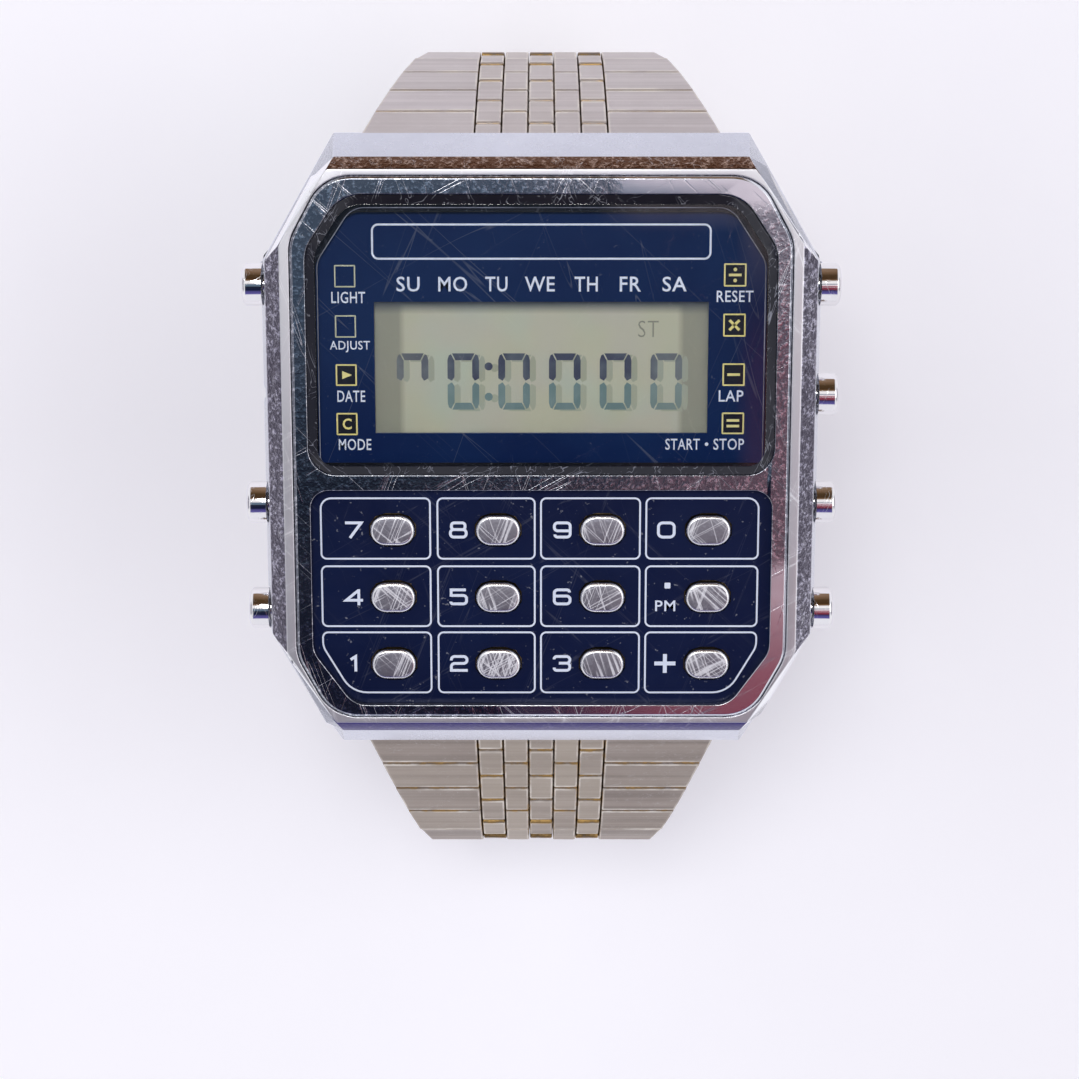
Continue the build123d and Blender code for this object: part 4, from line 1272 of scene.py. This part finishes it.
@dataclass
class Keypad:
    """The keypad's frames and its squared figures."""

    print_depth: float = 0.632
    overlay: float = 0.003
    line: float = 0.12
    rows: tuple[tuple[float, float], ...] = ((-7.34, -3.21), (-12.0, -7.86), (-16.63, -12.43))
    columns: tuple[tuple[float, float], ...] = ((-14.8, -7.47), (-6.97, -0.44), (-0.02, 6.63), (7.05, 14.58))
    figure_rows: tuple[float, ...] = (-5.37, -9.97, -14.6)
    figure_columns: tuple[float, ...] = (-12.63, -5.58, 1.41, 8.4)
    figure_size: tuple[float, float] = (1.06, 0.97)
    stroke: float = 0.19
    corner: float = 0.35
    top_corner: float = 0.7
    cut: tuple[float, float] = (1.9, 3.2)
    cut_radii: tuple[float, float] = (1.3, 1.85)

    def frames(self) -> list[Flat]:
        """Draws the twelve boxes; the two outer ones of the last row have cut corners."""
        shapes = []
        for level, (low, high) in enumerate(self.rows):
            for column, (left, right) in enumerate(self.columns):
                corners, radii = box_corners(left, right, low, high), [self.corner] * 4
                if level == 0 and column == 0:
                    radii[3] = self.top_corner
                if level == 0 and column == 3:
                    radii[2] = self.top_corner
                if level == 2 and column == 0:
                    corners = [(left, low + self.cut[1]), (left + self.cut[0], low)] + corners[1:]
                    radii = [*self.cut_radii] + radii[1:]
                if level == 2 and column == 3:
                    corners = [corners[0], (right - self.cut[0], low), (right, low + self.cut[1])] + corners[2:]
                    radii = [self.corner, *self.cut_radii[::-1], self.corner, self.corner]
                shapes.append(ribbon(rounded_path(corners, radii), self.line, True))
        return shapes

    def figure(self, sign: str) -> list[Flat]:
        """Draws one squared figure as strokes in a box of width 1 and height 1.

        Args:
            sign: The figure, or plus or point.

        Returns:
            The strokes, centred on 0, 0.
        """
        bend = 0.22
        strokes: dict[str, list[tuple[list[tuple[float, float]], list[float], bool]]] = {
            "0": [([(0, 0), (1, 0), (1, 1), (0, 1)], [bend * 1.3] * 4, True)],
            "1": [([(0.2, 0.78), (0.52, 1.0), (0.52, -0.08)], [0, 0, 0], False)],
            "2": [(
                [(0, 0.72), (0, 1), (1, 1), (1, 0.5), (0, 0.5), (0, 0), (1.05, 0)],
                [0, bend, bend, bend, bend, 0, 0], False,
            )],
            "3": [
                ([(0, 0.8), (0, 1), (1, 1), (1, 0.52), (0.3, 0.52)], [0, 0.16, bend, bend, 0], False),
                ([(0.3, 0.52), (1, 0.52), (1, 0), (0, 0), (0, 0.2)], [0, bend, bend, 0.16, 0], False),
            ],
            "4": [
                ([(0.78, -0.1), (0.78, 1.04)], [0, 0], False),
                ([(0.76, 0.96), (-0.02, 0.26), (1.05, 0.26)], [0, 0, 0], False),
            ],
            "5": [
                ([(0.96, 1), (0.02, 1), (0.02, 0.52)], [0, 0, 0], False),
                ([(0.02, 0.6), (1, 0.6), (1, 0), (0, 0), (0, 0.16)], [0, bend, bend, 0.14, 0], False),
            ],
            "6": [
                ([(0.96, 0.82), (0.96, 1), (0, 1), (0, 0.5)], [0, 0.16, bend, 0], False),
                ([(0, 0), (1, 0), (1, 0.56), (0, 0.56)], [bend, bend, bend, 0], True),
            ],
            "7": [([(-0.02, 1), (1.0, 1), (0.28, -0.06)], [0, 0, 0], False)],
            "8": [
                ([(0, 0), (1, 0), (1, 0.53), (0, 0.53)], [bend] * 4, True),
                ([(0.07, 0.53), (0.93, 0.53), (0.93, 1), (0.07, 1)], [bend * 0.8] * 4, True),
            ],
            "9": [
                ([(0.04, 0.18), (0.04, 0), (1, 0), (1, 0.5)], [0, 0.16, bend, 0], False),
                ([(0, 0.44), (1, 0.44), (1, 1), (0, 1)], [bend, 0, bend, bend], True),
            ],
        }
        return [
            ribbon((rounded_path(corners, radii) - 0.5) * self.figure_size, self.stroke, closed)
            for corners, radii, closed in strokes[sign]
        ]

    def figures(self) -> list[Flat]:
        """Places every figure, the plus and the point with its small label."""
        signs = (("7", "8", "9", "0"), ("4", "5", "6", ""), ("1", "2", "3", "+"))
        shapes = []
        for y, line in zip(self.figure_rows, signs):
            for x, sign in zip(self.figure_columns, line):
                if sign == "+":
                    shapes.append(ribbon(np.array([(x - 0.72, y), (x + 0.72, y)]), 0.27, False))
                    shapes.append(ribbon(np.array([(x, y - 0.66), (x, y + 0.66)]), 0.27, False))
                elif sign:
                    shapes += [(points + (x, y), faces) for points, faces in self.figure(sign)]
        x, y = self.figure_columns[3], self.figure_rows[1]
        point = np.array(box_corners(-0.2, 0.2, -0.2, 0.2)) + (x + 0.12, y + 0.78)
        shapes.append(fill(rounded_path(point, [0.06] * 4)))
        shapes.append(lettering("PM", x - 0.02, y - 0.62, 0.74, 1.36, 0.008))
        return shapes

    def build(self) -> None:
        """Builds the frames and figures as two prints."""
        depths = [self.print_depth - self.overlay * layer for layer in range(3)]
        for name, shapes in (("keypad_frames", self.frames()), ("keypad_figures", self.figures())):
            lay_print(name, shapes, depths, WHITE, "panel_paint")


# Softened solids


Regions = Callable[[np.ndarray, np.ndarray], np.ndarray]
CASE_FINISHES = (CASE_STEEL, RIM, SIDE_CHAMFER, TOP_CHAMFER, LOW_CHAMFER, FACET)


def case_regions(centres: np.ndarray, normals: np.ndarray) -> np.ndarray:
    """Sorts the case's faces by height and slope, in the order of the case's finishes.

    Args:
        centres: Middles of the faces in millimetres.
        normals: Their directions.

    Returns:
        The number of each face's finish.
    """
    depth = CASE.top - centres[:, 2]
    across, along, up = np.abs(normals[:, 0]), normals[:, 1], normals[:, 2]
    chamfer = (depth > 0.02) & (depth < 0.88) & (up > 0.2) & (up < 0.9) & (np.abs(centres[:, 0]) < 18.3)
    corner = chamfer & (across > 0.15) & (np.abs(along) > 0.15)
    rim = (depth < 0.05) & (up > 0.9)
    return np.select([corner, chamfer & (along > 0.5), chamfer & (along < -0.5), chamfer, rim], [5, 3, 4, 2, 1], 0)


def crystal_regions(centres: np.ndarray, normals: np.ndarray) -> np.ndarray:
    """Tells the crystal's sloping rim, which is 1 and gets a painted dark reflection, from its flat faces, which are 0.
    """
    return ((normals[:, 2] > 0.1) & (normals[:, 2] < 0.97)).astype(int)


def draw_in_corners(points: np.ndarray) -> np.ndarray:
    """Shortens the two long edges of the rim and of the shoulder under it, so the corners open out.

    Args:
        points: The case's points in millimetres.

    Returns:
        The points, with the ends of those edges moved along X.
    """
    moved = points.copy()
    depth, reach = CASE.top - points[:, 2], np.abs(points[:, 1] - CASE.y)
    for level, length, end, new_end in ((0.0, 18.6, 14.55, 14.0), (0.9, 19.37, 14.43, 13.6)):
        near = (np.abs(depth - level) < 0.05) & (np.abs(reach - length) < 0.05)
        near &= np.abs(np.abs(points[:, 0]) - end) < 0.1
        moved[near, 0] = np.sign(points[near, 0]) * new_end
    return moved


@dataclass(frozen=True)
class SoftenedSolid:
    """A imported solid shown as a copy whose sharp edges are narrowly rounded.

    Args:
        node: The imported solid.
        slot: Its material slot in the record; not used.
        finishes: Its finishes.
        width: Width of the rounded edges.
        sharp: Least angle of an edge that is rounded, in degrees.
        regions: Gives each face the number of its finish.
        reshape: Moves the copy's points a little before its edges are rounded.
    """

    node: str
    slot: str
    finishes: tuple[Finish, ...]
    width: float = 0.1
    sharp: float = 28.0
    regions: Regions | None = None
    reshape: Callable[[np.ndarray], np.ndarray] | None = None

    def merged(self) -> bpy.types.Mesh:
        """Copies the solid's mesh, merges its doubles and joins its flat faces.

        Returns:
            The new mesh.
        """
        work = bmesh.new()
        work.from_mesh(frame["nodes"][self.node].data)
        bmesh.ops.remove_doubles(work, verts=work.verts, dist=DOUBLE_POINT)
        bmesh.ops.dissolve_limit(work, angle_limit=FLAT_EDGE, verts=work.verts, edges=work.edges)
        mesh = bpy.data.meshes.new(self.node + "_softened")
        work.to_mesh(mesh)
        work.free()
        if self.reshape:
            moved = self.reshape(values_of(mesh.vertices, "co") / MM) * MM
            mesh.vertices.foreach_set("co", moved.ravel())
            mesh.update()
        return mesh

    def build(self) -> bpy.types.Object:
        """Builds the copy, dresses it and lets it stand for the solid.

        Returns:
            The new object.
        """
        mesh = self.merged()
        for finish in self.finishes:
            mesh.materials.append(finish.material())
        count = len(mesh.polygons)
        if self.regions:
            centres, normals = (values_of(mesh.polygons, what) for what in ("center", "normal"))
            mesh.polygons.foreach_set("material_index", self.regions(centres / MM, normals).astype(np.int32))
        mesh.polygons.foreach_set("use_smooth", np.ones(count, bool))
        made = add_object(mesh.name, mesh)
        rounding = made.modifiers.new("edge_rounding", "BEVEL")
        rounding.width, rounding.segments = self.width * MM, 2
        rounding.limit_method, rounding.angle_limit = "ANGLE", math.radians(self.sharp)
        rounding.use_clamp_overlap = False
        shading = made.modifiers.new("even_shading", "WEIGHTED_NORMAL")
        shading.mode, shading.weight = "FACE_AREA", 100
        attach(made, body_of(frame["nodes"][self.node])[0])
        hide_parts(self.node)
        LOG.info("%s: %d faces", made.name, count)
        return made


def softened_solids() -> list[SoftenedSolid]:
    """Lists the solids that are shown with rounded edges."""
    return [
        SoftenedSolid("case_body", "case_steel", CASE_FINISHES, regions=case_regions, reshape=draw_in_corners),
        SoftenedSolid("mirror_plate", "mirror_steel", (MIRROR,), 0.05),
        # The crystal's sloping rim takes an opaque painted dark reflection.
        SoftenedSolid("crystal", "crystal", (CRYSTAL, BEVEL), 0.03, 8.0, crystal_regions),
        SoftenedSolid("case_back", "back_steel", (BACK,), 0.08),
        SoftenedSolid("back_screws", "screw_steel", (PUSHER,), 0.05),
        SoftenedSolid("clasp_inner_blade", "blade_steel", (BACK,), 0.08),
        SoftenedSolid("clasp_outer_blade", "blade_steel", (BACK,), 0.08),
        SoftenedSolid("clasp_cover", "cover_steel", (BACK,), 0.15),
    ]


# Keys and pushers


@dataclass(frozen=True)
class KeyCap:
    """A steel key: an obround head with a rounded edge, on a flange under the panel."""

    node: str
    size: tuple[float, float] = (3.0, 2.05)
    flange: tuple[float, float] = (0.45, 0.3)
    edge: float = 0.2
    crown: float = 0.02
    end_points: int = 17

    def ring(self, offset: float, height: float, middle: Vector) -> np.ndarray:
        """Works out one obround ring: two half circles about the ends of a short middle line.

        Args:
            offset: How far the ring lies outside the head's outline.
            height: Its height.
            middle: The key's middle.

        Returns:
            The ring's points.
        """
        turn = np.linspace(-math.pi / 2, math.pi / 2, self.end_points)
        reach = (self.size[0] - self.size[1]) / 2
        radius = self.size[1] / 2 + offset
        right = np.stack([reach + radius * np.cos(turn), radius * np.sin(turn)], 1)
        flat = np.concatenate([right, -right])
        return np.concatenate([flat + (middle.x, middle.y), np.full((len(flat), 1), height)], 1)

    def build(self) -> bpy.types.Object:
        """Builds the key from its flange up: wall, rounded edge, slightly crowned top.

        Returns:
            The key's object.
        """
        low, high, middle = corners_of(self.node)
        turn = np.linspace(0, math.pi / 2, 6)
        profile = [(self.flange[0], low.z), (self.flange[0], low.z + self.flange[1]), (0.0, low.z + self.flange[1])]
        profile += [(self.edge * (math.cos(a) - 1), high.z - self.crown - self.edge * (1 - math.sin(a))) for a in turn]
        profile += [(-self.edge - 0.2, high.z - self.crown * 0.5), (-self.edge - 0.5, high.z)]
        rings = np.stack([self.ring(offset, height, middle) for offset, height in profile])
        made = piece(self.node + "_cap", *swept_rings(rings), self.node, KEY_WALL, "key_steel")
        for finish in (KEY_EDGE, KEY_TOP):
            made.data.materials.append(finish.material())
        last_wall, last_edge = 2, 7
        station = np.append(np.repeat(np.arange(len(profile) - 1), rings.shape[1]), [0, len(profile)])
        zones = np.select([station > last_edge, station > last_wall], [2, 1], 0)
        made.data.polygons.foreach_set("material_index", zones.astype(np.int32))
        return turned_part(made, self.node)


@dataclass(frozen=True)
class SidePusher:
    """A polished side pusher: a round head with a domed end, on a thinner stem."""

    node: str
    radius: float = 1.42
    stem: float = 0.8
    head: float = 1.45
    dome: tuple[float, float] = (0.45, 0.32)
    flush: bool = False
    sides: int = 40

    def build(self) -> bpy.types.Object:
        """Builds the pusher: its half outline is turned about its own axis.

        Returns:
            The pusher's object.
        """
        low, high, middle = corners_of(self.node)
        hand = 1.0 if middle.x > 0 else -1.0
        inner, outer = sorted((abs(low.x), abs(high.x)))
        outline = [(inner, self.stem - 0.05), (inner + 0.05, self.stem)]
        if self.flush:
            outline += [(outer - 0.06, self.stem), (outer, self.stem - 0.06)]
        else:
            seat = outer - self.head
            outline += [(seat, self.stem), (seat, self.radius - 0.12), (seat + 0.1, self.radius)]
            outline += [
                (outer - self.dome[1] * (1 - math.sin(a)), self.radius - self.dome[0] * (1 - math.cos(a)))
                for a in np.linspace(0, math.pi / 2, 7)
            ]
            outline.append((outer, 0.5))
        along, reach = np.array(outline).T[:, :, None]
        around = np.linspace(0, 2 * math.pi, self.sides, endpoint=False)
        rings = np.stack([
            hand * along * np.ones_like(around), middle.y + reach * np.cos(around), middle.z + reach * np.sin(around),
        ], -1)
        return turned_part(
            piece(self.node + "_button", *swept_rings(rings), self.node, PUSHER, "pusher_steel"), self.node,
        )


# Carried nodes


@dataclass
class CarriedNodes:
    """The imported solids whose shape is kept, each with its finish."""

    finishes: dict[str, Finish] = field(default_factory=lambda: {
        "crystal_gasket": RUBBER, "dial_plate": NAVY, "display_glass": DISPLAY,
        "contact_strips": STRIP, "keypad_panel": PANEL, "key_mat": MAT, "module_frame": PLASTIC,
        "circuit_board": BOARD, "board_components": CHIP, "button_cells": CELL, "cell_strap": BRASS,
        "back_seal": RUBBER, "lug_bars": PIN,
    })

    def dress(self) -> None:
        """Gives each carried solid its finish."""
        for name, finish in self.finishes.items():
            slots = frame["nodes"][name].data.materials
            slots.clear()
            slots.append(finish.material())
            LOG.info("%s: %s", name, finish.name)


# Studio


@dataclass
class Studio:
    """The floor, the lamps, the pale surroundings and the camera."""

    camera_distance: float = 150.0
    camera_tilt: float = 8.7
    camera_side: float = -0.12
    aim: float = -5.9
    focal_pixels: float = 2255.0
    picture: float = 1079.0
    film: float = 36.0
    floor_size: float = 240.0
    lengthwise: tuple[tuple[float, Colour], ...] = (
        (0.0, (0.9, 0.9, 0.97)), (0.1, (0.9, 0.9, 0.97)), (0.13, (0.12, 0.1, 0.36)), (0.22, (0.08, 0.075, 0.24)),
        (0.27, (0.008, 0.012, 0.04)), (0.36, (0.012, 0.016, 0.045)), (0.425, (0.014, 0.018, 0.032)),
        (0.447, (0.12, 0.17, 0.24)), (0.53, (0.12, 0.18, 0.26)),
        (0.58, (1.0, 0.98, 1.0)), (0.67, (1.0, 0.98, 1.0)), (0.71, (0.22, 0.12, 0.05)), (0.77, (0.06, 0.03, 0.012)),
        (0.9, (0.08, 0.045, 0.02)), (0.97, (0.2, 0.12, 0.07)), (1.0, (0.3, 0.2, 0.14)),
    )
    rightward: tuple[tuple[float, Colour], ...] = (
        (0.0, (0.26, 0.05, 0.08)), (0.27, (0.28, 0.05, 0.085)), (0.3, (1.0, 0.85, 0.9)), (0.35, (1.0, 0.85, 0.9)),
        (0.37, (0.01, 0.012, 0.03)), (0.42, (0.02, 0.03, 0.07)), (0.45, (0.52, 0.18, 0.23)), (0.63, (0.46, 0.15, 0.2)),
        (0.71, (0.2, 0.14, 0.16)), (0.78, (0.6, 0.48, 0.52)), (0.82, (1.0, 0.88, 0.94)), (1.0, (1.0, 0.88, 0.94)),
    )
    sideways: tuple[tuple[float, Colour], ...] = (
        (0.0, (0.86, 0.86, 0.92)), (0.22, (0.86, 0.86, 0.92)), (0.25, (0.05, 0.04, 0.08)), (0.42, (0.1, 0.09, 0.15)),
        (0.5, (0.66, 0.65, 0.74)), (0.6, (0.3, 0.3, 0.36)), (0.8, (0.9, 0.9, 0.95)), (1.0, (0.95, 0.95, 1.0)),
    )
    far_side: Colour = (0.95, 0.95, 1.0)
    backdrop: Colour = (0.93, 0.925, 0.955)

    def floor(self) -> None:
        """Lays the pale flat floor."""
        count = 9
        side = np.linspace(-self.floor_size, self.floor_size, count)
        x, y = np.meshgrid(side, side, indexing="ij")
        points = np.stack([x, y, np.zeros_like(x)], -1).reshape(-1, 3)
        first = (np.arange(count - 1)[:, None] * count + np.arange(count - 1)).ravel()
        faces = np.stack([first, first + count, first + count + 1, first + 1], -1)
        mesh = bpy.data.meshes.new("floor")
        mesh.from_pydata((points * MM).tolist(), [], faces.tolist())
        mesh.materials.append(FLOOR.material())
        add_object("floor", mesh)

    def surroundings(self) -> None:
        """Sets the room that polished steel mirrors, by direction.

        Seen along the watch it goes from pale through violet and navy to a white lamp's patch
        overhead, then down through brown. It is pale and lavender to the sides.
        """
        world = bpy.data.worlds.new("studio")
        bpy.context.scene.world = world
        world.use_nodes = True
        graph = Graph(world.node_tree)
        way = graph.node("TexCoord").outputs["Generated"]
        x, y, z = graph.split(way)
        room = graph.stops(graph.ramp(y, -1.0, 1.0), self.lengthwise)
        right = graph.stops(graph.ramp(y, -0.3, 0.0), self.rightward)
        near = graph.window(y, -0.5, -0.35, 0.02, 0.05)
        beside_dial = graph.window(y, -0.17, -0.155, -0.055, -0.045)
        inner = graph.times(graph.ramp(x, 0.025, 0.045), graph.minus(1.0, beside_dial))
        reach = graph.math("MAXIMUM", inner, graph.ramp(x, 0.086, 0.094))
        room = graph.mix(graph.times(reach, near), room, right)
        sides = graph.stops(graph.ramp(z, -0.3, 1.0), self.sideways)
        sides = graph.mix(graph.ramp(graph.size(y), 0.3, 0.45), sides, self.far_side)
        room = graph.mix(graph.ramp(graph.size(x), 0.3, 0.5), room, sides)
        seen = graph.node("LightPath").outputs["Is Camera Ray"]
        colour = graph.mix(seen, room, self.backdrop)
        graph.feed(world.node_tree.nodes["Background"], {"Color": colour, "Strength": 1.0})

    def lamp(self, name: str, place: tuple[float, float, float], size: float, power: float) -> None:
        """Hangs one soft square lamp that faces the watch.

        Args:
            name: The lamp's name.
            place: Its place in millimetres.
            size: Its side in millimetres.
            power: Its power in watts.
        """
        light = bpy.data.lights.new(name, "AREA")
        light.shape, light.size, light.energy = "SQUARE", size * MM, power
        made = add_object(name, light)
        made.location = Vector(place) * MM
        aim = Vector((0, CASE.y, CASE.top)) * MM - made.location
        made.rotation_euler = aim.to_track_quat("-Z", "Y").to_euler()

    def camera(self) -> None:
        """Sets the camera at the photograph's distance, tilt and field of view."""
        tilt = math.radians(self.camera_tilt)
        lens = bpy.data.cameras.new("camera")
        lens.sensor_width, lens.lens = self.film, self.film * self.focal_pixels / self.picture
        lens.clip_start, lens.clip_end = 0.01, 10.0
        made = add_object("camera", lens)
        back, up = self.camera_distance * math.sin(tilt), self.camera_distance * math.cos(tilt)
        made.location = Vector((self.camera_side, CASE.y + back, CASE.top + up)) * MM
        made.rotation_euler = (-math.atan2(back - self.aim, up), 0.0, 0.0)
        bpy.context.scene.camera = made

    def build(self) -> None:
        """Builds the whole studio."""
        self.camera()
        self.floor()
        self.surroundings()
        self.lamp("key_lamp", (-40, 140, 420), 120, 0.5)
        self.lamp("fill_lamp", (280, 40, 320), 260, 0.25)
        bpy.context.scene.view_settings.view_transform = "Standard"


def main() -> None:
    """Dresses the watch and sets the studio."""
    Studio().build()
    CarriedNodes().dress()
    for solid in softened_solids():
        solid.build()
    for node in frame["nodes"]:
        if node.startswith("key_") and node != "key_mat":
            KeyCap(node).build()
        elif node.startswith("pusher_"):
            SidePusher(node, flush=node == "pusher_adjust").build()
    Bracelet().build()
    Dial().build()
    Keypad().build()


if __name__ == "__main__":
    logging.basicConfig(level=logging.INFO, format="%(message)s")
    main()
